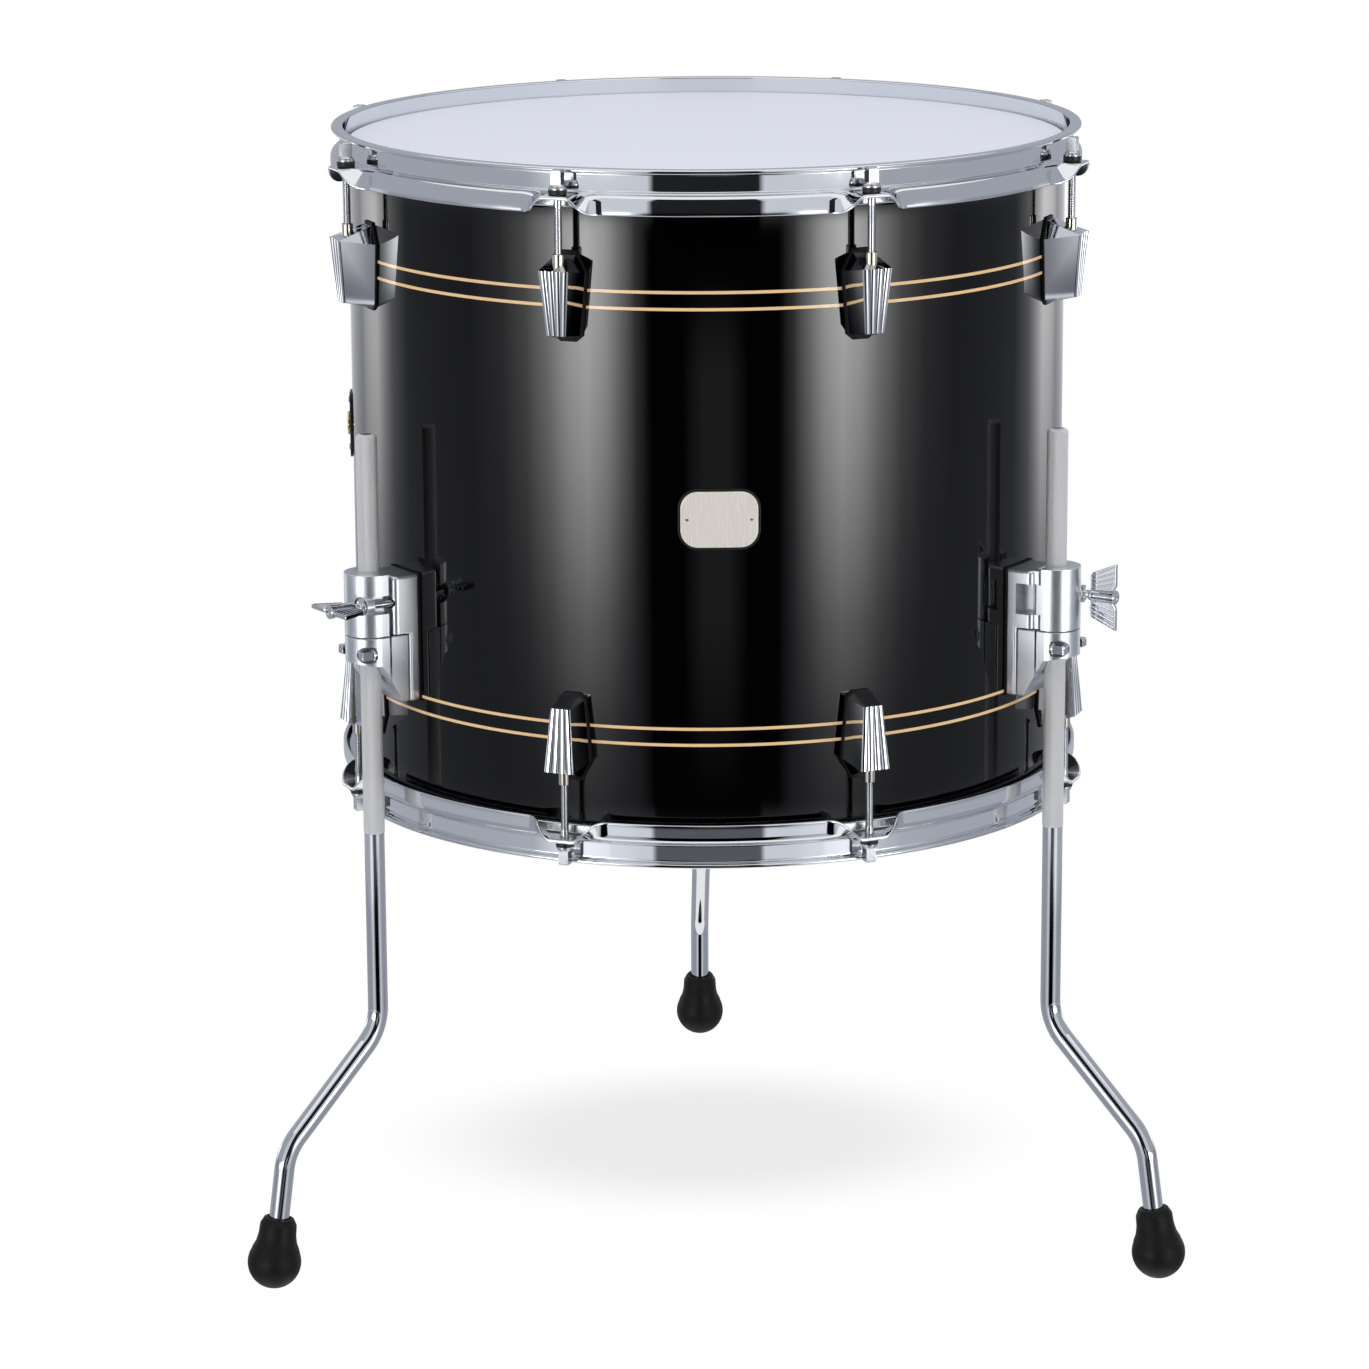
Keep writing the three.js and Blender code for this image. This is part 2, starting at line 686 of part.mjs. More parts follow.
// A half round front with straight sides, opened towards the shell by the leg's slot.
function jawPlan() {
  const shape = new THREE.Shape();
  shape.moveTo(-jawHingeEdgeSet, -jawRadius);
  shape.absarc(0, 0, jawRadius, -Math.PI / 2, Math.PI / 2);
  shape.lineTo(-jawFreeEdgeSet, jawRadius);
  shape.lineTo(-jawFreeEdgeSet, jawBoreRadius);
  shape.absarc(-jawBoreSet, 0, jawBoreRadius, Math.PI / 2, -Math.PI / 2, true);
  shape.lineTo(-jawHingeEdgeSet, -jawBoreRadius);
  return shape;
}

function jawGeometry() {
  const plate = raised(jawPlan(), fit, jawRise, frontSteps);
  const knuckle = upright(knuckleRadius, knuckleBottom, knuckleBottom + knuckleHeight);
  const web = box(
    [-hingeSet, overrun - jawHingeEdgeSet],
    [-hingeOffset - knuckleRadius, -jawBoreRadius],
    [knuckleBottom, knuckleBottom + knuckleHeight],
  );
  const pinHole = upright(boreRadius(hingePinRadius, rodSides), 0, jawRise);
  const boss = radialBar(bossRadius, overrun, bossFace).translate(0, boltOffset, boltRise);
  const notch = box(
    [-jawFreeEdgeSet - overrun, notchFront],
    [boltOffset - boltRadius - boltPlay, boltOffset + bossRadius + overrun],
    [boltRise - notchHeight / 2, boltRise + notchHeight / 2],
  );
  const boltHole = radialBar(boreRadius(boltRadius, rodSides), 0, bossFace + overrun);
  const spotFace = radialBar(wingCollarRadius + spotFacePlay, bossFace, jawRadius + overrun);
  return cut(
    joined(plate, knuckle.translate(-hingeSet, -hingeOffset, 0), web, boss),
    notch,
    boltHole.translate(0, boltOffset, boltRise),
    spotFace.translate(0, boltOffset, boltRise),
    pinHole.translate(-hingeSet, -hingeOffset, 0),
  );
}

// One wing in x and z, from the bolt's axis out to the wing's tip.
function wingOutline(seat) {
  return [
    [seat + wingRootSet, 0],
    [seat + wingRootSet, wingRootHalf],
    [seat + wingShoulderSet, wingShoulderHalf],
    [wingEnd, wingTipHalf],
    [wingEnd, wingNeckHalf],
    [wingEnd - wingNeckSet, 0],
  ];
}

// The wing bolt lies along x, with its axis on the x axis.
function wingBoltGeometry(turn) {
  const seat = bossFace + fit;
  const spindle = turned([
    [0, -boltReach],
    [boltRadius, -boltReach],
    [boltRadius, seat],
    [wingCollarRadius, seat],
    [wingCollarRadius, seat + wingCollarThickness],
    [wingHubRadius, seat + wingCollarThickness],
    [wingHubRadius, wingEnd],
    [0, wingEnd],
  ], rodSides).rotateY(Math.PI / 2);
  const thickness = [-wingThickness / 2, wingThickness / 2];
  const wing = slab(wingOutline(seat), thickness);
  const other = slab(wingOutline(seat).map(([x, z]) => [x, -z]), thickness);
  return joined(spindle, wing, other).rotateX(THREE.MathUtils.degToRad(turn));
}

function lockPlan() {
  const shape = new THREE.Shape();
  shape.moveTo(-lockBackSet, -jawRadius);
  shape.absarc(0, 0, jawRadius, -Math.PI / 2, Math.PI / 2);
  shape.lineTo(-lockBackSet, jawRadius);
  return shape;
}

// Two half rings held together by two key bolts, with a belly cut away under the front.
function lockGeometry() {
  const blank = raised(lockPlan(), -baseFall, 0, frontSteps);
  const side = [-jawRadius - overrun, jawRadius + overrun];
  const low = -baseFall - overrun;
  const belly = slab([
    [jawRadius + overrun, -lockFrontFall],
    [0, -lockBellyFall],
    [-lockTailSet, low],
    [jawRadius + overrun, low],
  ], side);
  const bore = upright(lockBoreRadius, low, overrun, legSides);
  const split = box([-lockSplitBack, -lockSplitFront], side, [low, overrun]);
  const body = [blank, belly, bore, split];
  const bolts = [-keyBoltOffset, keyBoltOffset].map((y) => keyBolt(y));
  const recesses = [-keyBoltOffset, keyBoltOffset].map((y) => (
    radialBar(keyRecessRadius, keyRecessFloor, jawRadius + overrun).translate(0, y, -keyBoltFall)
  ));
  return joined(cut(...body, ...recesses), ...bolts);
}

function keyBolt(y) {
  const collarTop = keyRecessFloor + keyCollarThickness;
  const stem = radialBar(keyBoltRadius, -keyBoltSink, collarTop);
  const collarDisc = radialBar(keyCollarRadius, keyRecessFloor - overrun, collarTop);
  const half = keyHeadWidth / 2;
  const head = box([keyRecessFloor, keyHeadEnd], [-half, half], [-half, half]);
  return joined(stem, collarDisc, head).translate(0, y, -keyBoltFall);
}

function mesh(name, geometry, finish) {
  const piece = new THREE.Mesh(facingOut(geometry), new THREE.MeshStandardMaterial(finish));
  piece.name = name;
  return piece;
}

// A frame turned so that its x points away from the drum's axis at an azimuth from the front.
function station(azimuth, ...pieces) {
  const group = new THREE.Group();
  group.rotation.z = THREE.MathUtils.degToRad(azimuth - 90);
  group.add(...pieces);
  return group;
}

// One head with its hoop, rods and lugs. The resonant half is the same, turned over.
function drumHalf(name, filmFinish, over) {
  const half = new THREE.Group();
  half.position.z = shellMidHeight;
  half.rotation.x = over ? 0 : Math.PI;
  half.add(mesh(`${name}_hoop`, hoopGeometry(), chrome));
  half.add(mesh(`${name}_head_film`, headFilmGeometry(), filmFinish));
  half.add(mesh(`${name}_flesh_hoop`, fleshHoopGeometry(), aluminium));
  for (let i = 0; i < rodsPerHead; i += 1) {
    const azimuth = ((i + 0.5) * 360) / rodsPerHead;
    const inHalf = over ? azimuth : 180 - azimuth;
    const core = shellCore(inHalf);
    const lug = mesh(`lug_${name}_${i + 1}`, cut(lugGeometry(), core), chrome);
    const rod = mesh(`rod_${name}_${i + 1}`, rodGeometry(), chrome);
    rod.position.x = rodCircle;
    half.add(station(inHalf, lug, rod));
  }
  return half;
}

function legSet(number, azimuth) {
  const leg = mesh(`leg_${number}`, legGeometry(), satinSteel);
  const foot = mesh(`foot_${number}`, footGeometry(), rubber);
  const bracket = new THREE.Group();
  bracket.position.z = seamHeight;
  const wingBolt = mesh(`wing_bolt_${number}`, wingBoltGeometry(wingTurns[number - 1]), chrome);
  wingBolt.position.set(0, boltOffset, boltRise);
  bracket.add(
    mesh(`bracket_base_${number}`, bracketBaseGeometry(azimuth), chrome),
    mesh(`clamp_jaw_${number}`, jawGeometry(), chrome),
    mesh(`memory_lock_${number}`, lockGeometry(), chrome),
    wingBolt,
  );
  const stand = new THREE.Group();
  stand.position.x = legCircle;
  stand.add(leg, foot, bracket);
  return station(azimuth, stand);
}

function badges() {
  const badge = mesh('badge_plate', wrappedPlate(
    badgeWidth, badgeHeight, badgeCornerRadius, badgeThickness, badgeRise, badgeTurn,
  ), chrome);
  const ventBadge = mesh('vent_badge', ventBadgeGeometry(), blackPlate);
  const grommet = mesh('vent_grommet', grommetGeometry(), brass);
  const group = new THREE.Group();
  group.position.z = shellMidHeight;
  group.add(station(badgeTurn, badge), station(ventAzimuth, ventBadge, grommet));
  return group;
}

const floorTom = new THREE.Group();
floorTom.position.y = drumAxisY;
const shell = mesh('shell', shellGeometry(), blackLacquer);
shell.position.z = shellMidHeight;
floorTom.add(shell, badges(), drumHalf('batter', coatedFilm, true), drumHalf('resonant', clearFilm, false));
[-frontLegAzimuth, frontLegAzimuth, 180].forEach((azimuth, i) => floorTom.add(legSet(i + 1, azimuth)));

export default floorTom;
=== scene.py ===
"""Looks of a floor tom: lacquered shell, chrome hoops, lugs, rods, leg brackets and cranked legs.

Metres. +Z is up, the floor is z = 0, and the front of the drum faces -Y.
An azimuth is measured from the front round towards +X.
A station is the frame at one azimuth: x runs out from the drum's axis, y along the rim and z up.
"""
import math

import bmesh
import bpy
from mathutils import Matrix, Vector


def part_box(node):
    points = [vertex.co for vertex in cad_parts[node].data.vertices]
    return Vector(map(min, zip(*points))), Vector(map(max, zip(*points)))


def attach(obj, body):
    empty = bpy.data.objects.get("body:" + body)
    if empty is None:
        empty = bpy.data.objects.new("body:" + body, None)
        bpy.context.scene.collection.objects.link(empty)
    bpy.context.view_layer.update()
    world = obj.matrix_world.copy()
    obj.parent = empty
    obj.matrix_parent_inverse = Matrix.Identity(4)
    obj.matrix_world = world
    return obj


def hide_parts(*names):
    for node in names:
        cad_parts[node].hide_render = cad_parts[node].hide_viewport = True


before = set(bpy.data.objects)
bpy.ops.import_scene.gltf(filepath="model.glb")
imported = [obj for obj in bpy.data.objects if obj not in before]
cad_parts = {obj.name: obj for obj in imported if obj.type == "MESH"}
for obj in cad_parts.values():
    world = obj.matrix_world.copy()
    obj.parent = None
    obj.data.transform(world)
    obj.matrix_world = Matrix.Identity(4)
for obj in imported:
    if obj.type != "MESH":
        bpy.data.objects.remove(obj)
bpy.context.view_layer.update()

# Places taken from the frame
SHELL_LOW, SHELL_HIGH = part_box("shell")
SHELL_R = (SHELL_HIGH.x - SHELL_LOW.x) / 2
HALF_DEPTH = (SHELL_HIGH.z - SHELL_LOW.z) / 2
CENTRE = (SHELL_LOW + SHELL_HIGH) / 2
RIM_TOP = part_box("batter_hoop")[1].z - CENTRE.z
LEG_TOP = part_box("leg_1")[1].z
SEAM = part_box("memory_lock_1")[1].z

# GAP is the play between two pieces, OVERRUN how far a form runs on past one that it meets.
# Points closer than SAME_PLACE are one, and HAIR is the slack in a test for height.
# CUTS say how far each corner of an outline is rounded, and an EASE how wide an edge is rounded.
GAP = 0.0003
OVERRUN = 0.002
SAME_PLACE = 1e-6
HAIR = 1e-5

# Shell and its trim
SHELL_WALL = 0.007
EDGE_ROUND = 0.0016
SHELL_STEPS = 256
STRIPES = (-0.1385, -0.1284, 0.1296, 0.1398)
STRIPE_WIDTH = 0.0019
LACQUER_BLACK = (0.0008, 0.0008, 0.001)
PLATE_STRIPS = 24
BADGE_SIZE = (0.05, 0.0375)
BADGE_CORNER = 0.012
BADGE_BORDER = 0.0016
BADGE_EASE = 0.0004
BADGE_THICK = 0.0014
BADGE_LIFT = 0.0002
BADGE_BORDER_TOP = BADGE_THICK * 0.7
BADGE_FACE_BACK = BADGE_THICK * 0.4
BADGE_FACE_TOP = BADGE_THICK * 1.2
BADGE_RISE = 0.002
BADGE_AZIMUTH = 0.5
PIN_R, PIN_HEIGHT, PIN_INSET = 0.0011, 0.0006, 0.004
VENT_AZIMUTH = -90
VENT_RISE = 0.02
VENT_PLATE = (0.024, 0.042)
VENT_CORNER = 0.006
VENT_THICK = 0.0016
VENT_EASE = 0.0005
VENT_HOLE_R = 0.0056
VENT_BAND = 0.014
SLEEVE_WALL = 0.0012
SLEEVE_CUTS = (0.0001, 0.0001, 0.0001, 0.0002, 0.0008, 0.0005)
FLANGE_REACH, FLANGE_THICK = 0.002, 0.0012
SCREW_R, SCREW_HEIGHT, SCREW_INSET = 0.0026, 0.0014, 0.0055
SLOT_HALF, SLOT_FLOOR = 0.0003, 0.0008

# Heads
FILM_THICK = 0.0008
FILM_SKIRT = 0.011
FILM_RINGS = (0.05, 0.1, 0.15, 0.2, 0.218)
FLESH_WIDTH = 0.0056
FLESH_HEIGHT = 0.006
FLESH_CUTS = (0.0016, 0.0016, 0.0008, 0.0008)

# Hoops: the cuts start at the ledge's inner edge, go up round the rim and come down to the ledge
SHEET = 0.0023
HOOP_STAND_OFF = 0.0024
RIM_OVERHANG = 0.0052
RIM_THICK = 0.0027
HOOP_CUTS = (0.0008, 0.001, 0.0013, 0.0013, 0.0012, 0.0014)
LEDGE_DROP = 0.0031
EAR_DROP = 0.0046
SKIRT_R = 0.23805
SKIRT_DEPTH = 0.011
SKIRT_CUT = 0.0011
SHOULDER_DOWN, SHOULDER_OUT = 0.0042, 0.0022
EAR_REACH = 0.014
EAR_HALF = 0.007
FLARE_REACH = 0.027
FLARE_STEPS = 12
PLAIN_STEPS = 10
RODS = 8

# Rods
ROD_R = 0.0026
ROD_CORE_R = 0.0021
ROD_CHAMFER = 0.001
ROD_SHANK = 0.008
ROD_CIRCLE = SHELL_R + 0.0149
ROD_IN_LUG = 0.024
THREAD_PITCH = 0.00106
THREAD_ROOT = 0.0002
THREAD_START = 0.002
THREAD_STEPS = 14
NYLON_R = 0.0057
NYLON_THICK = 0.0031
NYLON_CUTS = (0.0001, 0.0005, 0.0007, 0.0001)
WASHER_R = 0.0055
WASHER_THICK = 0.0029
WASHER_FOOT = 0.001
WASHER_EASE = (0.0002, 0.0003)
DOME_CENTRE, DOME_R, DOME_TIP = 0.0028, 0.0022, 0.0003
HEAD_WIDTH = 0.0063
HEAD_HEIGHT = 0.0089
HEAD_SINK = 0.001
HEAD_EASE = 0.0009

# Lugs: heights from the shell's middle, reaches from the shell's outside
LUG_WIDE_END = HALF_DEPTH - 0.0402
LUG_LENGTH = 0.054
LUG_NARROW_END = LUG_WIDE_END - LUG_LENGTH
LUG_FACE_TOP = LUG_WIDE_END - 0.009
LUG_FACE_BOTTOM = LUG_NARROW_END + 0.0054
LUG_DEPTHS = (0.0204, 0.0244)
LUG_FACE_HALVES = (0.0061, 0.00965)
LUG_BASE = ((0.0055, 0.0), (0.0123, 0.013), (0.009, 0.051), (0.0045, 0.054))
LUG_SINK = 0.002
LUG_EASE, LUG_EASED_FROM = 0.0004, 0.01
RIDGES = 4
RIDGE_HEIGHT = 0.001
RIDGE_FLATNESS = 4
RIDGE_ANGLES = (-55, -25, 0, 25, 55, 90)
NUT_R = 0.00355
NUT_LENGTH, NUT_PROUD = 0.02, 0.0002
NUT_PLAY, NUT_BORE = 0.0002, 0.012
NUT_CUTS = (0.0001, 0.0003, 0.0005, 0.0003)
GASKET_LIP = 0.0007
GASKET_SINK, GASKET_THICK = 0.001, 0.0012
GASKET_EASE = 0.0004

# Legs and feet: the foot's points are (radius, height) from the ball's centre, the crown's (inset, drop)
LEG_CIRCLE = SHELL_R + 0.0264
LEG_R = 0.00635
LEG_TOP_ROUND = 0.0024
KNURL_LIP = 0.0003
KNURL_BOTTOM = 0.286
KNURL_CHAMFER = 0.0008
KNURL_CROWN = ((0.0014, 0.0004), (0.0003, 0.0014), (0.0, 0.0026))
KNURL_LAP, KNURL_TUCK = 0.0001, 0.004
KNURLS_ROUND = 36
KNEE = 0.157
ANKLE = 0.088
ANKLE_REACH = 0.069
LOWER_TILT = math.radians(8.5)
BEND_R = 0.035
BEND_STEPS = 14
LEG_END = 0.015
BALL_R = 0.017
BALL_HEIGHT = 0.0164
FOOT_REACH = ANKLE_REACH + (ANKLE - BALL_HEIGHT) * math.tan(LOWER_TILT)
FOOT_FLANK = ((0.0150, 0.0088), (0.0131, 0.0128), (0.0122, 0.0168), (0.0119, 0.019))
FOOT_NECK = ((0.0117, 0.0235), (0.0116, 0.0248), (0.0111, 0.0258), (0.0096, 0.0286), (0.0092, 0.029))
FOOT_BORE_PLAY = 0.0002
FOOT_BORE_EASE = (0.0006, 0.0007)

# Leg brackets: x from the leg's axis, z from the seam
BASE_HALF = 0.016
BASE_FRONT = -0.0078
BASE_BACK = -0.0284
BASE_TOP = 0.0374
BASE_BOTTOM = -0.0431
BASE_CORNER, BASE_EASE, SEAM_EASE = 0.004, 0.0022, 0.0007
TAIL_FRONT = -0.0192
TAIL_CORNER, TAIL_EASE = 0.002, 0.0016
HINGE = Vector((-0.0065, -0.0095))
KNUCKLE_R = 0.0035
KNUCKLE = (0.0097, 0.0287)
KNUCKLE_ROOT, KNUCKLE_EASE, POST_EASE = 0.004, 0.0004, 0.0005
HINGE_PIN_R, HINGE_HOLE_R, HINGE_PIN_INSET = 0.0014, 0.0018, 0.003
WINDOW_DEPTH, WINDOW_SIDE = 0.0118, 0.0052
PAD_HALF, PAD_INSET, PAD_PLAY, PAD_EASE = 0.0045, 0.004, 0.0001, 0.0003
PACKING_THICK, PACKING_CORNER, PACKING_LIP = 0.0034, 0.001, 0.0006
JAW_R = 0.0157
JAW_TOP = 0.0398
JAW_BORE_R, JAW_BORE_SHIFT = 0.0075, -0.00055
JAW_HINGE_END, JAW_FREE_END = -0.0023, -0.0047
JAW_TOP_EASE, JAW_SEAM_EASE = 0.0006, 0.0004
BOLT_SIDE = 0.012
BOLT_RISE = 0.0206
BOLT_R = 0.0023
BOLT_HOLE_R = 0.0026
POCKET_R, POCKET_END = 0.00335, -0.016
NOTCH_DEPTHS, NOTCH_HEIGHT = (-0.0067, 0.006), 0.01155
NOTCH_SIDES = (BOLT_SIDE - 0.0034, BOLT_SIDE + 0.0075)
BOSS_R = 0.0054
BOSS_START, BOSS_FACE, BOSS_EASE = 0.004, 0.0116, 0.0006
SPOT_FACE_R = 0.0064
BOLT_TIP, BOLT_CHAMFER = -0.015, (0.0004, 0.0006)
WING_SEAT = 0.0119
WING_END = 0.0365
WING_HALF_THICK, WING_EASE = 0.0013, 0.0005
WING_CUTS = (0.0001, 0.0014, 0.0012, 0.0008, 0.001, 0.0001)
RIBS = 4
RIB_HALF, RIB_PROUD, RIB_EASE = 0.00055, 0.0005, 0.00035
RIB_START, RIB_STOP = 0.0076, 0.0009
# The first rib's distance from the bolt's axis, and the step to the next
RIB_ROOTS, RIB_TIPS = (0.0045, 0.0026), (0.0088, 0.0035)
LOCK_TOP, LOCK_BACK = -0.0001, -0.0186
LOCK_EASE = 0.0008
LOCK_BORE_R = 0.00695
LOCK_SPLIT = (-0.0062, -0.0049)
BELLY_RISES, BELLY_BACK = (-0.016, -0.0186), -0.0155
KEY_SIDE = 0.0124
KEY_FALL = -0.0106
RECESS_R, RECESS_FLOOR = 0.0052, 0.0045
KEY_BOLT_R, KEY_TIP = 0.0022, -0.014
KEY_COLLAR = ((KEY_BOLT_R, 0.0042), (0.0042, 0.0042), (0.0042, 0.0059), (0.0036, 0.0065), (0.0, 0.0066))
KEY_HEAD_HALF, KEY_HEAD, KEY_HEAD_EASE = 0.0027, (0.0045, 0.0146), 0.0007

# Wing bolt: hub and cap are (radius, distance) points, and root and tip (distance, radius) ones.
# Hub and root are measured from the seat, cap and tip back from the end.
WING_HUB = (
    (0.0050, 0.0), (0.0056, 0.0006), (0.0056, 0.0014), (0.0048, 0.002), (0.0027, 0.0023),
    (0.0026, 0.0052), (0.0036, 0.0066), (0.0043, 0.009),
)
WING_CAP = (
    (0.0040, 0.006), (0.0045, 0.0015), (0.0044, 0.0005), (0.0036, 0.0), (0.0018, 0.0),
    (0.0014, 0.0006), (0.0, 0.0006),
)
WING_ROOT = ((0.0052, 0.0), (0.0052, 0.0036), (0.007, 0.014))
WING_TIP = ((0.0, 0.0213), (0.0, 0.007), (0.0045, 0.0))

LEG_AZIMUTHS = {1: -57, 2: 57, 3: 180}
WING_TURNS = {1: 90, 2: 0, 3: 35}

# Ways to lay a form down: its own z becomes the station's x, or the station's y
ALONG_X = Matrix(((0, 0, 1, 0), (1, 0, 0, 0), (0, 1, 0, 0), (0, 0, 0, 1)))
ALONG_Y = Matrix.Rotation(math.radians(90), 4, "X")


def at(x=0.0, y=0.0, z=0.0):
    return Matrix.Translation((x, y, z))


def station(azimuth, radius=0.0, height=0.0):
    turn = Matrix.Rotation(math.radians(azimuth - 90), 4, "Z")
    return at(CENTRE.x, CENTRE.y, height) @ turn @ at(radius)


def half_station(half, azimuth, radius=0.0):
    """A station about the shell's centre, with the half's head towards its own +z."""
    if half == "batter":
        return station(azimuth, radius, CENTRE.z)
    over = Matrix.Rotation(math.pi, 4, "X")
    turn = Matrix.Rotation(math.radians(90 - azimuth), 4, "Z")
    return at(CENTRE.x, CENTRE.y, CENTRE.z) @ over @ turn @ at(radius)


# Forms

def verts_of(geom):
    return [part for part in geom if isinstance(part, bmesh.types.BMVert)]


def edges_of(geom):
    return [part for part in geom if isinstance(part, bmesh.types.BMEdge)]


def everything(form):
    return form.verts[:] + form.edges[:] + form.faces[:]


def above(limit):
    """Picks the edges that lie above a height."""
    return lambda edge: min(v.co.z for v in edge.verts) > limit


def below(limit):
    return lambda edge: max(v.co.z for v in edge.verts) < limit


def cleaned(form):
    bmesh.ops.remove_doubles(form, verts=form.verts, dist=SAME_PLACE)
    bmesh.ops.recalc_face_normals(form, faces=form.faces)
    return form


def eased(corners, cuts, steps=4):
    """A closed outline whose corners are rounded, each over its own cut along both sides."""
    corners = [Vector(corner) for corner in corners]
    outline = []
    for i, corner in enumerate(corners):
        before = corners[i - 1] - corner
        after = corners[(i + 1) % len(corners)] - corner
        start = corner + before.normalized() * cuts[i]
        end = corner + after.normalized() * cuts[i]
        for step in range(steps + 1):
            share = step / steps
            outline.append(start.lerp(corner, share).lerp(corner.lerp(end, share), share))
    return outline


def arc(centre, radius, start, end, steps):
    points = []
    for step in range(steps + 1):
        angle = math.radians(start + (end - start) * step / steps)
        points.append(Vector((centre[0] + radius * math.cos(angle), centre[1] + radius * math.sin(angle))))
    return points


def ring(form, points):
    """A closed loop: its verts and the edges between them."""
    verts = [form.verts.new(point) for point in points]
    return verts, [form.edges.new(pair) for pair in zip(verts, verts[1:] + verts[:1])]


def turned(outline, steps=32, closed=False):
    """An outline of (radius, height) points spun about z."""
    form = bmesh.new()
    corners = [form.verts.new((x, 0, z)) for x, z in outline]
    pairs = list(zip(corners, corners[1:]))
    if closed:
        pairs.append((corners[-1], corners[0]))
    edges = [form.edges.new(pair) for pair in pairs]
    bmesh.ops.spin(
        form, geom=corners + edges, cent=(0, 0, 0), axis=(0, 0, 1),
        angle=math.tau, steps=steps, use_merge=True,
    )
    return cleaned(form)


def extruded(outline, low, high):
    """An outline of (x, y) points raised from low to high."""
    form = bmesh.new()
    face = form.faces.new([form.verts.new((x, y, low)) for x, y in outline])
    raised = bmesh.ops.extrude_face_region(form, geom=[face])["geom"]
    bmesh.ops.translate(form, verts=verts_of(raised), vec=(0, 0, high - low))
    return cleaned(form)


def block(xs, ys, zs, ease=0.0):
    form = bmesh.new()
    bmesh.ops.create_cube(form, size=1)
    size = Matrix.Diagonal((xs[1] - xs[0], ys[1] - ys[0], zs[1] - zs[0], 1))
    form.transform(at(sum(xs) / 2, sum(ys) / 2, sum(zs) / 2) @ size)
    return ease_edges(form, ease) if ease else form


def is_level(edge):
    return abs(edge.verts[0].co.z - edge.verts[1].co.z) < SAME_PLACE


def rod(radius, low, high, segments=32, ease=0.0):
    form = bmesh.new()
    bmesh.ops.create_cone(
        form, cap_ends=True, segments=segments, radius1=radius, radius2=radius, depth=high - low,
        matrix=at(z=(low + high) / 2),
    )
    return ease_edges(form, ease, 2, is_level) if ease else form


def ease_edges(form, width, segments=2, pick=None, sharper_than=30):
    """Rounds the form's sharp edges, or those of them that pick chooses."""
    limit = math.radians(sharper_than)
    edges = [
        edge for edge in form.edges
        if edge.is_manifold and edge.calc_face_angle(0) > limit and (pick is None or pick(edge))
    ]
    bmesh.ops.bevel(
        form, geom=edges, offset=width, offset_type="OFFSET", segments=segments, profile=0.5,
        affect="EDGES", clamp_overlap=False, material=-1,
    )
    return form


def moved(form, matrix):
    form.transform(matrix)
    return form


def mesh_of(form, name="form"):
    mesh = bpy.data.meshes.new(name)
    form.to_mesh(mesh)
    return mesh


def linked(name, data):
    """A new object in the scene."""
    obj = bpy.data.objects.new(name, data)
    bpy.context.scene.collection.objects.link(obj)
    return obj


def merged(*forms):
    """Several closed forms kept side by side in one."""
    whole = bmesh.new()
    for form in forms:
        mesh = mesh_of(form)
        whole.from_mesh(mesh)
        bpy.data.meshes.remove(mesh)
    return whole


def combined(base, others, operation):
    """The base with the other forms joined to it or cut from it."""
    holder = linked("form", mesh_of(base))
    tools = [linked("tool", mesh_of(other)) for other in others]
    for tool in tools:
        modifier = holder.modifiers.new("form", "BOOLEAN")
        modifier.operation = operation
        modifier.solver = "EXACT"
        modifier.object = tool
    bpy.context.view_layer.update()
    result = bmesh.new()
    result.from_object(holder, bpy.context.evaluated_depsgraph_get())
    for obj in (holder, *tools):
        mesh = obj.data
        bpy.data.objects.remove(obj)
        bpy.data.meshes.remove(mesh)
    return cleaned(result)


def joined(base, *others):
    return combined(base, others, "UNION")


def cut(base, *cutters):
    return combined(base, cutters, "DIFFERENCE")


def piece(name, form, matrix, body, finish, nodes=(), crease=32):
    """Places a copy of the form as a piece of the drum, with edges over the crease angle kept sharp."""
    own = form.copy()
    own.transform(matrix)
    limit = math.radians(crease)
    for face in own.faces:
        face.smooth = True
    for edge in own.edges:
        edge.smooth = edge.is_manifold and edge.calc_face_angle(0) < limit
    obj = linked(name, mesh_of(own, name))
    own.free()
    for each in finish if isinstance(finish, list) else [finish]:
        obj.data.materials.append(each)
    shading = obj.modifiers.new("even shading", "WEIGHTED_NORMAL")
    shading.keep_sharp = True
    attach(obj, body)
    if nodes:
        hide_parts(*nodes)
    return obj


# Finishes

def plain_finish(name, colour, roughness, metallic=0.0, **sockets):
    material = bpy.data.materials.new(name)
    material.use_nodes = True
    shader = material.node_tree.nodes["Principled BSDF"]
    shader.inputs["Base Color"].default_value = (*colour, 1)
    shader.inputs["Roughness"].default_value = roughness
    shader.inputs["Metallic"].default_value = metallic
    for socket, value in sockets.items():
        shader.inputs[socket.replace("_", " ")].default_value = value
    return material


def node(holder, kind, inputs=None, **settings):
    """A new node of a material or world; an input is either a value or the socket that feeds it."""
    tree = holder.node_tree
    made = tree.nodes.new(kind)
    for key, value in settings.items():
        setattr(made, key, value)
    for key, value in (inputs or {}).items():
        if isinstance(value, bpy.types.NodeSocket):
            tree.links.new(value, made.inputs[key])
        else:
            made.inputs[key].default_value = value
    return made


def wire(material, socket, name):
    material.node_tree.links.new(socket, material.node_tree.nodes["Principled BSDF"].inputs[name])


def place_socket(material, kind="Object"):
    return node(material, "ShaderNodeTexCoord").outputs[kind]


def mapped(material, shift=(0.0, 0.0, 0.0), scale=(1.0, 1.0, 1.0)):
    """The object's own coordinates, scaled and then shifted."""
    return node(material, "ShaderNodeMapping", {0: place_socket(material), 1: shift, 3: scale}).outputs[0]


def maths(material, operation, first, second=0.0):
    return node(material, "ShaderNodeMath", {0: first, 1: second}, operation=operation).outputs[0]


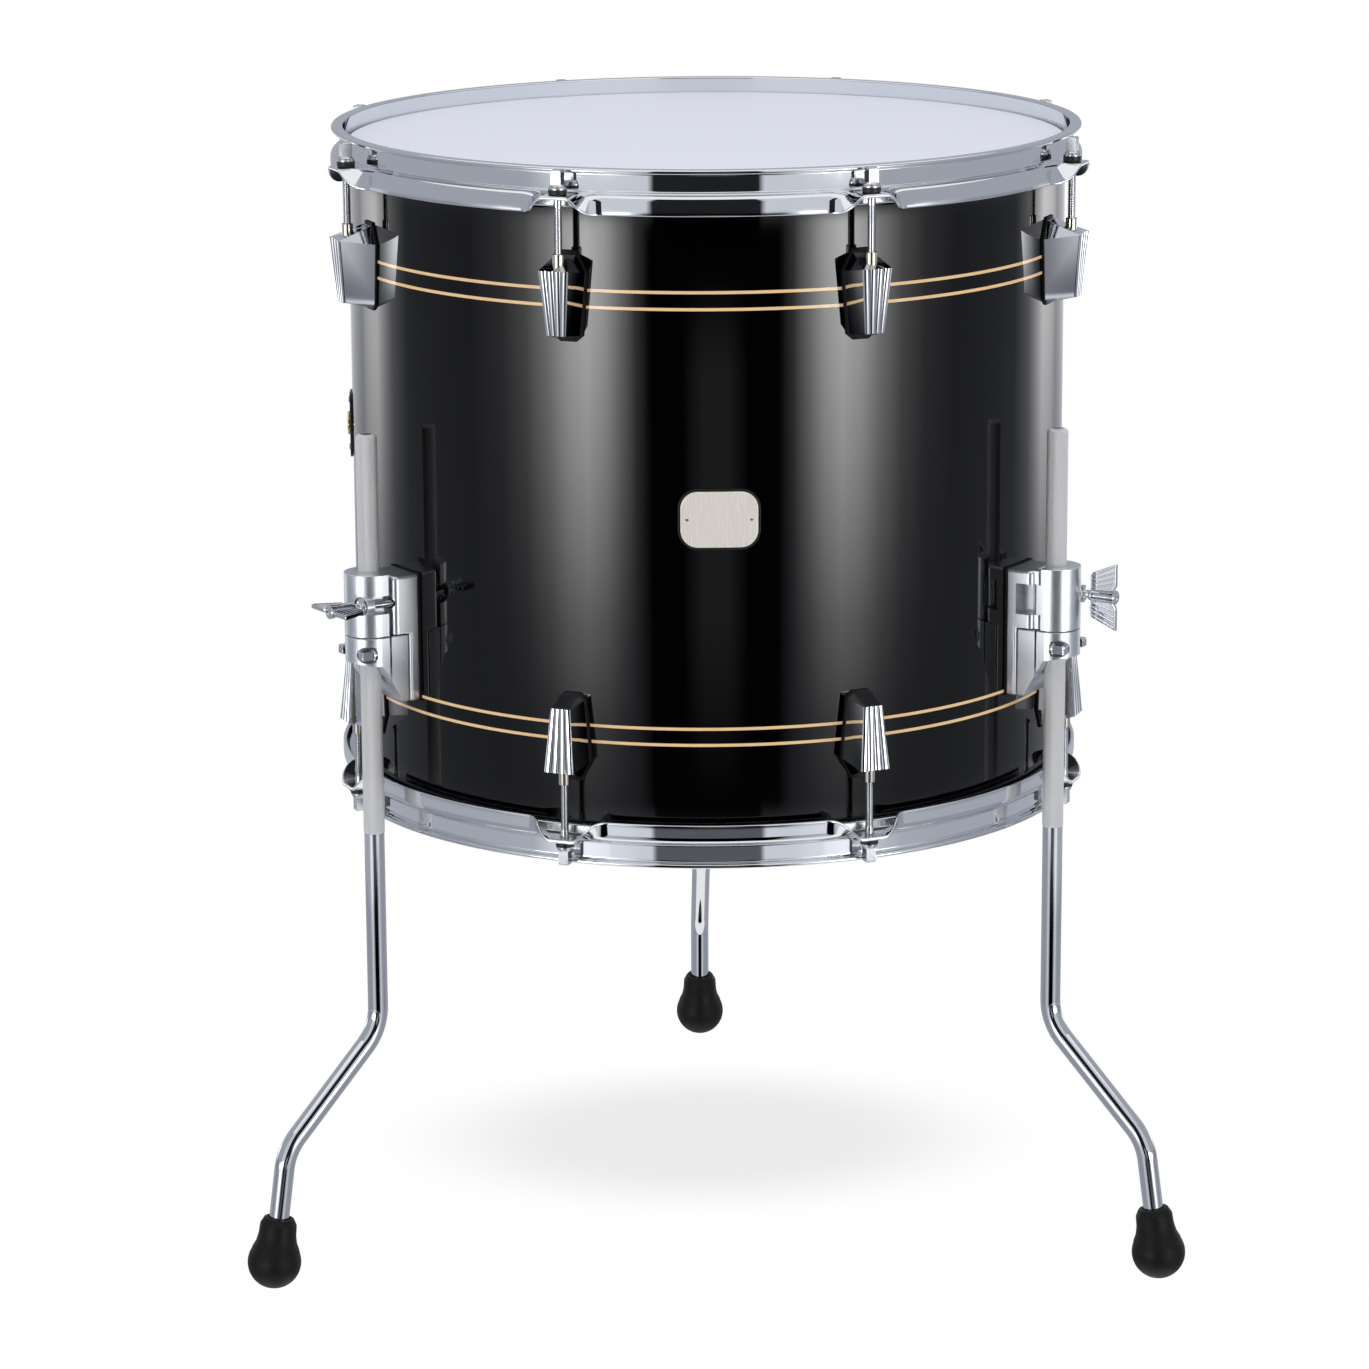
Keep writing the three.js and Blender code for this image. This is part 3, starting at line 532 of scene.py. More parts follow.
def ranged(material, value, start, end, first, last, easing="LINEAR"):
    """A value's way from start to end, turned into the way from first to last."""
    return node(
        material, "ShaderNodeMapRange", {0: value, 1: start, 2: end, 3: first, 4: last},
        interpolation_type=easing,
    ).outputs[0]


def graded(material, value, stops, scale=1.0):
    """The level at a value, read off a row of (value, level) stops and scaled."""
    low, high = stops[0][0], stops[-1][0]
    grade = node(material, "ShaderNodeValToRGB", {0: ranged(material, value, low, high, 0.0, 1.0)})
    ramp = grade.color_ramp
    while len(ramp.elements) < len(stops):
        ramp.elements.new(0.5)
    for element, (where, level) in zip(ramp.elements, stops):
        element.position = (where - low) / (high - low)
        element.color = (level * scale, level * scale, level * scale, 1)
    return grade.outputs[0]


def blended(material, share, first, second):
    return node(
        material, "ShaderNodeMix", {0: share, 6: first, 7: second}, data_type="RGBA",
    ).outputs[2]


def noise_of(material, scale, detail, place=None):
    if place is None:
        place = place_socket(material)
    return node(
        material, "ShaderNodeTexNoise", {"Vector": place, "Scale": scale, "Detail": detail},
    ).outputs["Fac"]


def gloss_from(material, noise, low, high):
    """Roughness between two values, over the noise's usual spread."""
    wire(material, ranged(material, noise, 0.3, 0.7, low, high), "Roughness")


def bumped(material, height, distance, strength=1.0):
    bump = node(material, "ShaderNodeBump", {"Strength": strength, "Distance": distance, "Height": height})
    wire(material, bump.outputs[0], "Normal")


def chrome_finish(name, colour, low=0.02, high=0.05, ripple=0.1):
    """Plating whose gloss and surface wander a little, as handling and polishing leave them."""
    material = plain_finish(name, colour, low, 1.0)
    noise = noise_of(material, 35.0, 4.0)
    gloss_from(material, noise, low, high)
    bumped(material, noise, 0.00012, ripple)
    return material


def lacquer_finish():
    """Black lacquer with amber pinstripes; every stripe is a band of heights."""
    material = plain_finish("black lacquer", LACQUER_BLACK, 0.03, 0.0, Specular_IOR_Level=0.4)
    height = node(material, "ShaderNodeSeparateXYZ", {0: place_socket(material)}).outputs["Z"]
    mask = 0.0
    for middle in STRIPES:
        away = maths(material, "ABSOLUTE", maths(material, "SUBTRACT", height, CENTRE.z + middle))
        mask = maths(material, "ADD", maths(material, "LESS_THAN", away, STRIPE_WIDTH / 2), mask)
    amber = blended(material, noise_of(material, 90.0, 3.0), (0.95, 0.58, 0.27, 1), (1.0, 0.74, 0.43, 1))
    wire(material, blended(material, mask, (*LACQUER_BLACK, 1), amber), "Base Color")
    noise = noise_of(material, 8.0, 4.0)
    gloss_from(material, noise, 0.02, 0.05)
    bumped(material, noise, 0.0002, 0.08)
    return material


def maple_finish():
    material = plain_finish("maple ply", (0.55, 0.36, 0.18), 0.5)
    grain = noise_of(material, 3.0, 6.0, mapped(material, scale=(6.0, 6.0, 60.0)))
    wire(material, blended(material, grain, (0.42, 0.25, 0.11, 1), (0.66, 0.46, 0.26, 1)), "Base Color")
    return material


def film_finish(name, colour, roughness):
    """Drumhead film with a very fine sprayed coat."""
    material = plain_finish(name, colour, roughness)
    bumped(material, noise_of(material, 900.0, 2.0), 0.00008, 0.35)
    return material


def knurl_finish():
    """Diamond knurl: two sets of slanting ridges, crossed on the bar's own unrolled surface."""
    material = plain_finish("knurled steel", (0.86, 0.86, 0.865), 0.4, 0.55)
    unrolled = node(material, "ShaderNodeSeparateXYZ", {0: place_socket(material, "UV")})
    across, up = unrolled.outputs["X"], unrolled.outputs["Y"]
    ridges = [
        maths(material, "PINGPONG", maths(material, operation, across, up), 0.5)
        for operation in ("ADD", "SUBTRACT")
    ]
    height = maths(material, "MINIMUM", *ridges)
    bumped(material, height, 0.0009, 0.7)
    wire(material, ranged(material, height, 0.0, 0.4, 0.5, 0.34), "Roughness")
    return material


def rubber_finish(name, colour, low, high, specular=0.4):
    material = plain_finish(name, colour, low, Specular_IOR_Level=specular)
    gloss_from(material, noise_of(material, 60.0, 4.0), low, high)
    bumped(material, noise_of(material, 700.0, 3.0), 0.0002, 0.3)
    return material


def brushed_finish(name, colour, metallic=1.0):
    """Satin metal with fine strokes that run up the plate."""
    material = plain_finish(name, colour, 0.3, metallic)
    grain = noise_of(material, 1.0, 2.0, mapped(material, scale=(1400.0, 1400.0, 40.0)))
    gloss_from(material, grain, 0.18, 0.34)
    bumped(material, grain, 0.00005, 0.4)
    return material


lacquer = lacquer_finish()
maple = maple_finish()
chrome = chrome_finish("hoop chrome", (0.80, 0.815, 0.84))
cast_chrome = chrome_finish("cast chrome", (0.78, 0.795, 0.82), 0.03, 0.07)
clamp_chrome = chrome_finish("clamp chrome", (0.80, 0.825, 0.85), 0.3, 0.36, 0.15)
rod_steel = chrome_finish("rod steel", (0.66, 0.67, 0.68), 0.16, 0.26)
leg_chrome = chrome_finish("leg chrome", (0.76, 0.77, 0.79), 0.04, 0.08)
nut_nickel = chrome_finish("nut nickel", (0.70, 0.66, 0.56), 0.1, 0.2)
knurled = knurl_finish()
coated_film = film_finish("coated film", (0.72, 0.745, 0.84), 0.5)
clear_film = film_finish("clear film", (0.62, 0.65, 0.70), 0.12)
satin_aluminium = brushed_finish("satin aluminium", (0.66, 0.67, 0.68))
badge_satin = brushed_finish("badge satin", (0.93, 0.88, 0.82), 0.2)
black_border = rubber_finish("black border", (0.012, 0.012, 0.013), 0.25, 0.35)
foot_rubber = rubber_finish("foot rubber", (0.005, 0.005, 0.005), 0.42, 0.62, 0.22)
nylon = rubber_finish("black nylon", (0.02, 0.018, 0.018), 0.3, 0.45)
vent_brass = chrome_finish("vent brass", (0.62, 0.46, 0.24), 0.12, 0.22)


# Shell, badge and vent

def shell_form():
    inside = SHELL_R - SHELL_WALL
    peak = SHELL_R - EDGE_ROUND
    bevel = peak - inside
    heights = [VENT_RISE - VENT_BAND, VENT_RISE + VENT_BAND]
    crest = arc((peak, HALF_DEPTH - EDGE_ROUND), EDGE_ROUND, 0, 90, 5)
    foot = [Vector((p.x, -p.y)) for p in reversed(crest)]
    outline = [(inside, bevel - HALF_DEPTH)] + foot + [(SHELL_R, h) for h in heights]
    outline += crest + [(inside, HALF_DEPTH - bevel)] + [(inside, h) for h in reversed(heights)]
    hole = rod(VENT_HOLE_R + GAP, SHELL_R - 2 * SHELL_WALL, SHELL_R + SHELL_WALL, 48)
    hole.transform(Matrix.Rotation(math.radians(VENT_AZIMUTH - 90), 4, "Z") @ at(z=VENT_RISE) @ ALONG_X)
    form = cut(turned(outline, SHELL_STEPS, closed=True), hole)
    for face in form.faces:
        middle = face.calc_center_median()
        face.material_index = 1 if middle.xy.length < SHELL_R - SHELL_WALL / 2 else 0
    return form


def plate_outline(size, corner, steps=8):
    right, top = size[0] / 2 - corner, size[1] / 2 - corner
    outline = []
    for sign_x, sign_y, start in ((1, 1, 0), (-1, 1, 90), (-1, -1, 180), (1, -1, 270)):
        outline += arc((sign_x * right, sign_y * top), corner, start, start + 90, steps)
    return outline


def bent_plate(size, corner, near, far, ease):
    """A plate bent round the shell, in the station's frame; near and far are distances off the shell."""
    plate = extruded(plate_outline(size, corner), near, far)
    ease_edges(plate, ease, 3, above((near + far) / 2))
    for strip in range(1, PLATE_STRIPS):
        offset = size[0] * (strip / PLATE_STRIPS - 0.5)
        bmesh.ops.bisect_plane(plate, geom=everything(plate), plane_co=(offset, 0, 0), plane_no=(1, 0, 0))
    for vert in plate.verts:
        angle = vert.co.x / SHELL_R
        radius = SHELL_R + vert.co.z
        vert.co = (radius * math.cos(angle), radius * math.sin(angle), vert.co.y)
    return cleaned(plate)


def pin_head(radius, height):
    outline = [(0, -height), (radius, -height), (radius, height * 0.3)]
    outline += [(radius * 0.7, height * 0.8), (0, height)]
    return turned(outline, 20)


def add_badge():
    rise = CENTRE.z + BADGE_RISE
    place = station(BADGE_AZIMUTH, 0, rise)
    border = bent_plate(BADGE_SIZE, BADGE_CORNER, BADGE_LIFT, BADGE_BORDER_TOP, BADGE_EASE)
    piece("badge_border", border, place, "drum", black_border, ["badge_plate"])
    inner = [side - 2 * BADGE_BORDER for side in BADGE_SIZE]
    face = bent_plate(inner, BADGE_CORNER - BADGE_BORDER, BADGE_FACE_BACK, BADGE_FACE_TOP, BADGE_EASE)
    piece("badge_face", face, place, "drum", badge_satin)
    pin = pin_head(PIN_R, PIN_HEIGHT)
    for number, side in enumerate((-1, 1), 1):
        turn = math.degrees(side * (inner[0] / 2 - PIN_INSET) / SHELL_R)
        where = station(BADGE_AZIMUTH + turn, SHELL_R + BADGE_FACE_TOP, rise) @ ALONG_X
        piece(f"badge_pin_{number}", pin, where, "drum", chrome)


def add_vent():
    rise = CENTRE.z + VENT_RISE
    place = station(VENT_AZIMUTH, 0, rise)
    plate = bent_plate(VENT_PLATE, VENT_CORNER, GAP, GAP + VENT_THICK, VENT_EASE)
    hole = moved(rod(VENT_HOLE_R + GAP, SHELL_R - OVERRUN, SHELL_R + VENT_THICK + OVERRUN, 40), ALONG_X)
    piece("vent_plate", cut(plate, hole), place, "drum", black_border, ["vent_badge"])
    bore, flange = VENT_HOLE_R - SLEEVE_WALL, VENT_HOLE_R + FLANGE_REACH
    inside, seat = SHELL_R - SHELL_WALL, SHELL_R + VENT_THICK + 2 * GAP
    sleeve = eased([
        (bore, inside), (VENT_HOLE_R, inside), (VENT_HOLE_R, seat), (flange, seat),
        (flange, seat + FLANGE_THICK), (bore, seat + FLANGE_THICK),
    ], SLEEVE_CUTS, 3)
    eyelet = moved(turned(sleeve, 40, closed=True), ALONG_X)
    piece("vent_eyelet", eyelet, place, "drum", vent_brass, ["vent_grommet"])
    reach = SCREW_R + OVERRUN
    slot = block((-reach, reach), (-SLOT_HALF, SLOT_HALF), (SLOT_FLOOR, SCREW_HEIGHT + OVERRUN))
    head = cut(pin_head(SCREW_R, SCREW_HEIGHT), slot)
    for number, side in enumerate((-1, 1), 1):
        up = side * (VENT_PLATE[1] / 2 - SCREW_INSET)
        where = station(VENT_AZIMUTH, SHELL_R + VENT_THICK, rise + up) @ ALONG_X
        piece(f"vent_screw_{number}", head, where, "drum", rod_steel)


def add_shell():
    place = at(CENTRE.x, CENTRE.y, CENTRE.z)
    piece("lacquered_shell", shell_form(), place, "drum", [lacquer, maple], ["shell"])
    add_badge()
    add_vent()


# Heads and hoops

def film_form():
    """Flat film with a rounded shoulder over the bearing edge and a collar down the shell."""
    under, hem = SHELL_R + GAP, HALF_DEPTH - FILM_SKIRT
    low, high = HALF_DEPTH + GAP, HALF_DEPTH + GAP + FILM_THICK
    turn = EDGE_ROUND + GAP
    centre = (SHELL_R - EDGE_ROUND, HALF_DEPTH - EDGE_ROUND)
    outline = [(0, low)] + [(r, low) for r in FILM_RINGS] + arc(centre, turn, 90, 0, 6)
    outline += [(under, hem), (under + FILM_THICK, hem)] + arc(centre, turn + FILM_THICK, 0, 90, 6)
    outline += [(r, high) for r in reversed(FILM_RINGS)] + [(0, high)]
    return turned(outline, SHELL_STEPS)


def flesh_hoop_form():
    inside = SHELL_R + 2 * GAP + FILM_THICK
    outside = inside + FLESH_WIDTH
    top = HALF_DEPTH - EAR_DROP - SHEET - GAP
    low = top - FLESH_HEIGHT
    outline = eased([(inside, low), (outside, low), (outside, top), (inside, top)], FLESH_CUTS)
    return turned(outline, 128, closed=True)


def hoop_section(swing):
    """The hoop's section, with its flange swung out from straight down by an angle."""
    half = SHEET / 2
    turned_out = swing / (math.pi / 2)
    length = SKIRT_DEPTH + (EAR_REACH - SKIRT_DEPTH) * turned_out
    shoulder = SHOULDER_DOWN + (SHOULDER_OUT - SHOULDER_DOWN) * turned_out
    ledge_top = HALF_DEPTH - LEDGE_DROP
    wall_in = SHELL_R + HOOP_STAND_OFF
    wall_out = wall_in + SHEET
    rim_r, rim_under = wall_out + RIM_OVERHANG, RIM_TOP - RIM_THICK
    pivot = Vector((SKIRT_R, HALF_DEPTH - EAR_DROP - half))
    along = Vector((math.sin(swing), -math.cos(swing)))
    across = Vector((math.cos(swing), math.sin(swing))) * half
    mitre = half * math.tan(math.pi / 4 - swing / 2)
    corners = [
        (wall_in, ledge_top - SHEET), (wall_in, RIM_TOP), (rim_r, RIM_TOP), (rim_r, rim_under),
        (wall_out, rim_under), (wall_out, ledge_top),
        pivot + across - along * mitre, pivot + across + along * length,
        pivot - across + along * length, pivot - across + along * mitre,
    ]
    return eased(corners, (*HOOP_CUTS, shoulder, SKIRT_CUT, SKIRT_CUT, shoulder / 2), 6)


def hoop_stations():
    """Angles round the hoop, each with the swing of the flange there."""
    pitch = math.tau / RODS
    flare_end = FLARE_REACH / ROD_CIRCLE
    flare = []
    for step in range(FLARE_STEPS + 1):
        share = step / FLARE_STEPS
        away = (EAR_HALF + (FLARE_REACH - EAR_HALF) * share) / ROD_CIRCLE
        flare.append((away, math.pi / 2 * (1 - share * share * (3 - 2 * share))))
    stations = []
    for ear in range(RODS):
        middle = (ear + 0.5) * pitch
        stations += [(middle - away, swing) for away, swing in reversed(flare)]
        stations += [(middle + away, swing) for away, swing in flare]
        plain = pitch - 2 * flare_end
        stations += [(middle + flare_end + plain * step / PLAIN_STEPS, 0.0) for step in range(1, PLAIN_STEPS)]
    return stations


def hoop_form():
    """The section drawn round the drum, its flange turned out flat where a rod goes through."""
    form = bmesh.new()
    loops = []
    for angle, swing in hoop_stations():
        points = [(p.x * math.cos(angle), p.x * math.sin(angle), p.y) for p in hoop_section(swing)]
        if not loops:
            last_verts, edges = ring(form, points)
        else:
            drawn = bmesh.ops.extrude_edge_only(form, edges=loops[-1])["geom"]
            edges, fresh = edges_of(drawn), set(verts_of(drawn))
            verts = []
            for old in last_verts:
                verts.append(next(e.other_vert(old) for e in old.link_edges if e.other_vert(old) in fresh))
            for vert, point in zip(verts, points):
                vert.co = point
            last_verts = verts
        loops.append(edges)
    bmesh.ops.bridge_loops(form, edges=loops[0] + loops[-1])
    ear_top = HALF_DEPTH - EAR_DROP
    hole = rod(ROD_R + 2 * GAP, ear_top - SHEET - OVERRUN, ear_top + OVERRUN, 24)
    return cut(cleaned(form), merged(*[moved(hole.copy(), ear_place(ear)) for ear in range(RODS)]))


def ear_place(ear):
    return Matrix.Rotation((ear + 0.5) * math.tau / RODS, 4, "Z") @ at(ROD_CIRCLE)


def add_heads():
    film, flesh, hoop = film_form(), flesh_hoop_form(), hoop_form()
    for half, film_look, slot in (
        ("batter", coated_film, "coated_film"), ("resonant", clear_film, "clear_film"),
    ):
        place = half_station(half, 90)
        piece(f"{half}_film", film, place, "drum", film_look, [f"{half}_head_film"])
        piece(
            f"{half}_film_ring", flesh, place, "drum", satin_aluminium,
            [f"{half}_flesh_hoop"],
        )
        piece(f"{half}_rim", hoop, place, "drum", chrome, [f"{half}_hoop"], crease=50)


# Rods and lugs

def thread_form(low, high):
    """A three-cornered ridge wound round the rod's core."""
    form = bmesh.new()
    half, root = THREAD_PITCH / 2, ROD_CORE_R - THREAD_ROOT
    verts, edges = ring(form, [(root, 0, low - half), (ROD_R, 0, low), (root, 0, low + half)])
    turns = (high - low) / THREAD_PITCH
    drawn = bmesh.ops.spin(
        form, geom=verts + edges, cent=(0, 0, 0), axis=(0, 0, 1), angle=turns * math.tau,
        steps=round(turns * THREAD_STEPS), dvec=(0, 0, THREAD_PITCH / THREAD_STEPS),
    )
    for end in (edges, edges_of(drawn["geom_last"])):
        bmesh.ops.contextual_create(form, geom=end)
    return cleaned(form)


def rod_form():
    seat = HALF_DEPTH - EAR_DROP + GAP
    nylon_top = seat + NYLON_THICK
    washer_top = nylon_top + WASHER_THICK
    tip, shank, foot = LUG_WIDE_END - ROD_IN_LUG, seat - ROD_SHANK, nylon_top + WASHER_FOOT
    core = turned([
        (0, tip), (ROD_CORE_R * 0.8, tip), (ROD_CORE_R, tip + ROD_CHAMFER), (ROD_CORE_R, shank),
        (ROD_R, shank + ROD_CHAMFER), (ROD_R, nylon_top), (0, nylon_top),
    ], 20)
    washer = turned([
        (0, nylon_top), (WASHER_R, nylon_top), (WASHER_R, foot - WASHER_EASE[1]),
        (WASHER_R - WASHER_EASE[0], foot), *arc((DOME_CENTRE, foot), DOME_R, 0, 80, 5),
        (0, washer_top + DOME_TIP),
    ], 32)
    half = HEAD_WIDTH / 2
    head = block((-half, half), (-half, half), (washer_top - HEAD_SINK, washer_top + HEAD_HEIGHT))
    ease_edges(head, HEAD_EASE, 3, above(washer_top))
    return merged(core, washer, head, thread_form(tip + THREAD_START, shank))


def tube_form(bore, radius, low, high, cuts, steps):
    outline = eased([(bore, low), (radius, low), (radius, high), (bore, high)], cuts, 3)
    return turned(outline, steps, closed=True)


def nylon_form():
    seat = HALF_DEPTH - EAR_DROP + GAP
    return tube_form(ROD_R, NYLON_R, seat, seat + NYLON_THICK, NYLON_CUTS, 32)


def nut_form():
    top = LUG_WIDE_END + NUT_PROUD
    return moved(tube_form(ROD_R + GAP, NUT_R, top - NUT_LENGTH, top, NUT_CUTS, 28), at(ROD_CIRCLE))


def lug_form():
    """A wedge-ended casing with flat-topped ridges down its face."""
    form = bmesh.new()
    corners = [(SHELL_R - LUG_SINK, half, LUG_WIDE_END - drop) for half, drop in LUG_BASE]
    corners.append((SHELL_R + LUG_DEPTHS[1], LUG_FACE_HALVES[1], LUG_FACE_TOP))
    corners.append((SHELL_R + LUG_DEPTHS[0], LUG_FACE_HALVES[0], LUG_FACE_BOTTOM))
    for x, half, z in corners:
        for side in (-1, 1):
            form.verts.new((x, side * half, z))
    bmesh.ops.convex_hull(form, input=form.verts)
    bmesh.ops.dissolve_limit(form, angle_limit=math.radians(2), verts=form.verts, edges=form.edges)
    bmesh.ops.recalc_face_normals(form, faces=form.faces)

    def front():
        return [face for face in form.faces if face.normal.x > 0.95]

    def half_width(z):
        share = (z - LUG_FACE_BOTTOM) / (LUG_FACE_TOP - LUG_FACE_BOTTOM)
        return LUG_FACE_HALVES[0] + (LUG_FACE_HALVES[1] - LUG_FACE_HALVES[0]) * share

    ridge_half = 1 / RIDGES
    crowns = [-1 + ridge_half * (2 * ridge + 1) for ridge in range(RIDGES)]
    shares = [crown + ridge_half * math.sin(math.radians(turn)) for crown in crowns for turn in RIDGE_ANGLES]
    for share in shares[:-1]:
        low = Vector((0, share * LUG_FACE_HALVES[0], LUG_FACE_BOTTOM))
        high = Vector((0, share * LUG_FACE_HALVES[1], LUG_FACE_TOP))
        across = Vector((1, 0, 0)).cross(high - low).normalized()
        faces = front()
        geom = faces + list({e for f in faces for e in f.edges}) + list({v for f in faces for v in f.verts})
        bmesh.ops.bisect_plane(form, geom=geom, plane_co=low, plane_no=across, dist=SAME_PLACE)
    for vert in {v for f in front() for v in f.verts}:
        share = vert.co.y / half_width(vert.co.z)
        away = min(1, min(abs(share - crown) for crown in crowns) / ridge_half)
        vert.co.x -= RIDGE_HEIGHT * away ** RIDGE_FLATNESS
    outer = SHELL_R + LUG_EASED_FROM
    ease_edges(form, LUG_EASE, 2, lambda edge: any(v.co.x > outer for v in edge.verts), 38)
    bore = rod(NUT_R + NUT_PLAY, LUG_WIDE_END - NUT_BORE, LUG_WIDE_END + OVERRUN, 28)
    return cut(cleaned(form), moved(bore, at(ROD_CIRCLE)))


def gasket_form():
    row = [Vector((half + GASKET_LIP, LUG_WIDE_END - drop)) for half, drop in LUG_BASE]
    row[0].y += GASKET_LIP
    row[-1].y -= GASKET_LIP
    outline = row + [Vector((-point.x, point.y)) for point in reversed(row)]
    pad = extruded(outline, SHELL_R - GASKET_SINK, SHELL_R + GASKET_THICK)
    return moved(ease_edges(pad, GASKET_EASE, 2, above(SHELL_R)), ALONG_X)


def add_tension():
    bar, washer, lug, nut, pad = rod_form(), nylon_form(), lug_form(), nut_form(), gasket_form()
    for half in ("batter", "resonant"):
        for number in range(1, RODS + 1):
            azimuth = (number - 0.5) * 360 / RODS
            name = f"{half}_{number}"
            turning = f"rod_{name}"
            lug_place = half_station(half, azimuth)
            rod_place = half_station(half, azimuth, ROD_CIRCLE)
            piece(f"tension_rod_{name}", bar, rod_place, turning, rod_steel, [turning])
            piece(f"nylon_washer_{name}", washer, rod_place, turning, nylon)
            piece(f"lug_casing_{name}", lug, lug_place, "drum", cast_chrome, [f"lug_{name}"])
            piece(f"swivel_nut_{name}", nut, lug_place, "drum", nut_nickel)
            piece(f"lug_gasket_{name}", pad, lug_place, "drum", foot_rubber)


# Legs

def new_loop(geom):
    """The verts of an extrusion and the edges that run between them."""
    verts = verts_of(geom)
    return verts + [edge for edge in edges_of(geom) if all(v in verts for v in edge.verts)]


def drawn_on(form, loop, step):
    """Extrudes a loop by a step and returns the new loop."""
    fresh = new_loop(bmesh.ops.extrude_edge_only(form, edges=edges_of(loop))["geom"])
    bmesh.ops.translate(form, verts=verts_of(fresh), vec=step)
    return fresh


def down_at(tilt):
    return Vector((math.sin(tilt), 0, -math.cos(tilt)))


def leg_form():
    """A round bar drawn down from its top, through the knee and the ankle, in the leg's own upright plane."""
    form = bmesh.new()
    made = bmesh.ops.create_circle(
        form, cap_ends=True, radius=LEG_R - LEG_TOP_ROUND, segments=32, matrix=at(z=LEG_TOP),
    )
    rim = list({edge for vert in made["verts"] for edge in vert.link_edges if edge.is_boundary})
    crown = bmesh.ops.extrude_edge_only(form, edges=rim)["geom"]
    start = Vector((0, 0, LEG_TOP - LEG_TOP_ROUND))
    for vert in verts_of(crown):
        vert.co = (vert.co.xy.normalized() * LEG_R).to_3d() + start
    loop = new_loop(crown)
    slope = math.atan2(ANKLE_REACH, KNEE - ANKLE)
    bends = [(Vector((0, 0, KNEE)), 0.0, slope), (Vector((ANKLE_REACH, 0, ANKLE)), slope, LOWER_TILT)]
    for corner, before, after in bends:
        set_back = BEND_R * math.tan(abs(after - before) / 2)
        bend_start = corner - down_at(before) * set_back
        loop = drawn_on(form, loop, bend_start - start)
        side = math.copysign(1, after - before)
        centre = bend_start + Vector((math.cos(before), 0, math.sin(before))) * side * BEND_R
        bent = bmesh.ops.spin(
            form, geom=loop, cent=centre, axis=(0, -1, 0), angle=after - before, steps=BEND_STEPS,
        )["geom_last"]
        loop = verts_of(bent) + edges_of(bent)
        start = corner + down_at(after) * set_back
    end = Vector((ANKLE_REACH + (ANKLE - LEG_END) * math.tan(LOWER_TILT), 0, LEG_END))
    bmesh.ops.contextual_create(form, geom=edges_of(drawn_on(form, loop, end - start)))
    return cleaned(form)


def knurl_form():
    """The knurled sleeve, with its surface unrolled so that one unit of UV is one diamond."""
    outside = LEG_R + KNURL_LIP
    mouth = LEG_R - LEG_TOP_ROUND
    outline = [(mouth, LEG_TOP + KNURL_LAP)]
    outline += [(outside - inset, LEG_TOP - drop) for inset, drop in KNURL_CROWN]
    outline += [(outside, KNURL_BOTTOM + KNURL_CHAMFER), (LEG_R - KNURL_LAP, KNURL_BOTTOM)]
    outline += [(mouth, LEG_TOP - KNURL_TUCK)]
    form = turned(outline, 40, closed=True)
    unrolled = form.loops.layers.uv.new("unrolled")
    pitch = math.tau * outside / KNURLS_ROUND
    for face in form.faces:
        middle = face.calc_center_median()
        around = math.atan2(middle.y, middle.x)
        for loop in face.loops:
            angle = math.atan2(loop.vert.co.y, loop.vert.co.x)
            angle = around + (angle - around + math.pi) % math.tau - math.pi
            loop[unrolled].uv = (angle * outside / pitch, loop.vert.co.z / pitch)
    return form


def foot_form():
    """A pear-shaped rubber foot on the lower leg's line, worn flat where it stands."""
    bore = LEG_R + FOOT_BORE_PLAY
    ease, drop = FOOT_BORE_EASE
    mouth = FOOT_NECK[-1][1]
    outline = [(0, -BALL_R), *arc((0, 0), BALL_R, -90, 26, 18)[1:], *FOOT_FLANK, *FOOT_NECK]
    outline += [(bore + ease, mouth), (bore, mouth - drop), (bore, 0), (0, 0)]
    form = turned(outline, 48)
    form.transform(at(FOOT_REACH, 0, BALL_HEIGHT) @ Matrix.Rotation(-LOWER_TILT, 4, "Y"))
    flat = bmesh.ops.bisect_plane(
        form, geom=everything(form), plane_co=(0, 0, 0), plane_no=(0, 0, -1), clear_outer=True,
    )
    bmesh.ops.contextual_create(form, geom=edges_of(flat["geom_cut"]))
    return cleaned(form)


# Leg brackets

def on_bolt(form):
    """Lays a form along the wing bolt's axis."""
    return moved(form, at(y=BOLT_SIDE, z=BOLT_RISE) @ ALONG_X)


def on_hinge(form):
    return moved(form, at(HINGE.x, HINGE.y))


def on_outside(radius, then):
    """Picks edges that lie outside a radius about the leg's axis and pass another test."""
    return lambda edge: min(v.co.xy.length for v in edge.verts) > radius and then(edge)


def base_outline(front, corner):
    middle, side = front - corner, BASE_HALF - corner
    return [
        Vector((BASE_BACK, -BASE_HALF)), *arc((middle, -side), corner, -90, 0, 8),
        *arc((middle, side), corner, 0, 90, 8), Vector((BASE_BACK, BASE_HALF)),
    ]


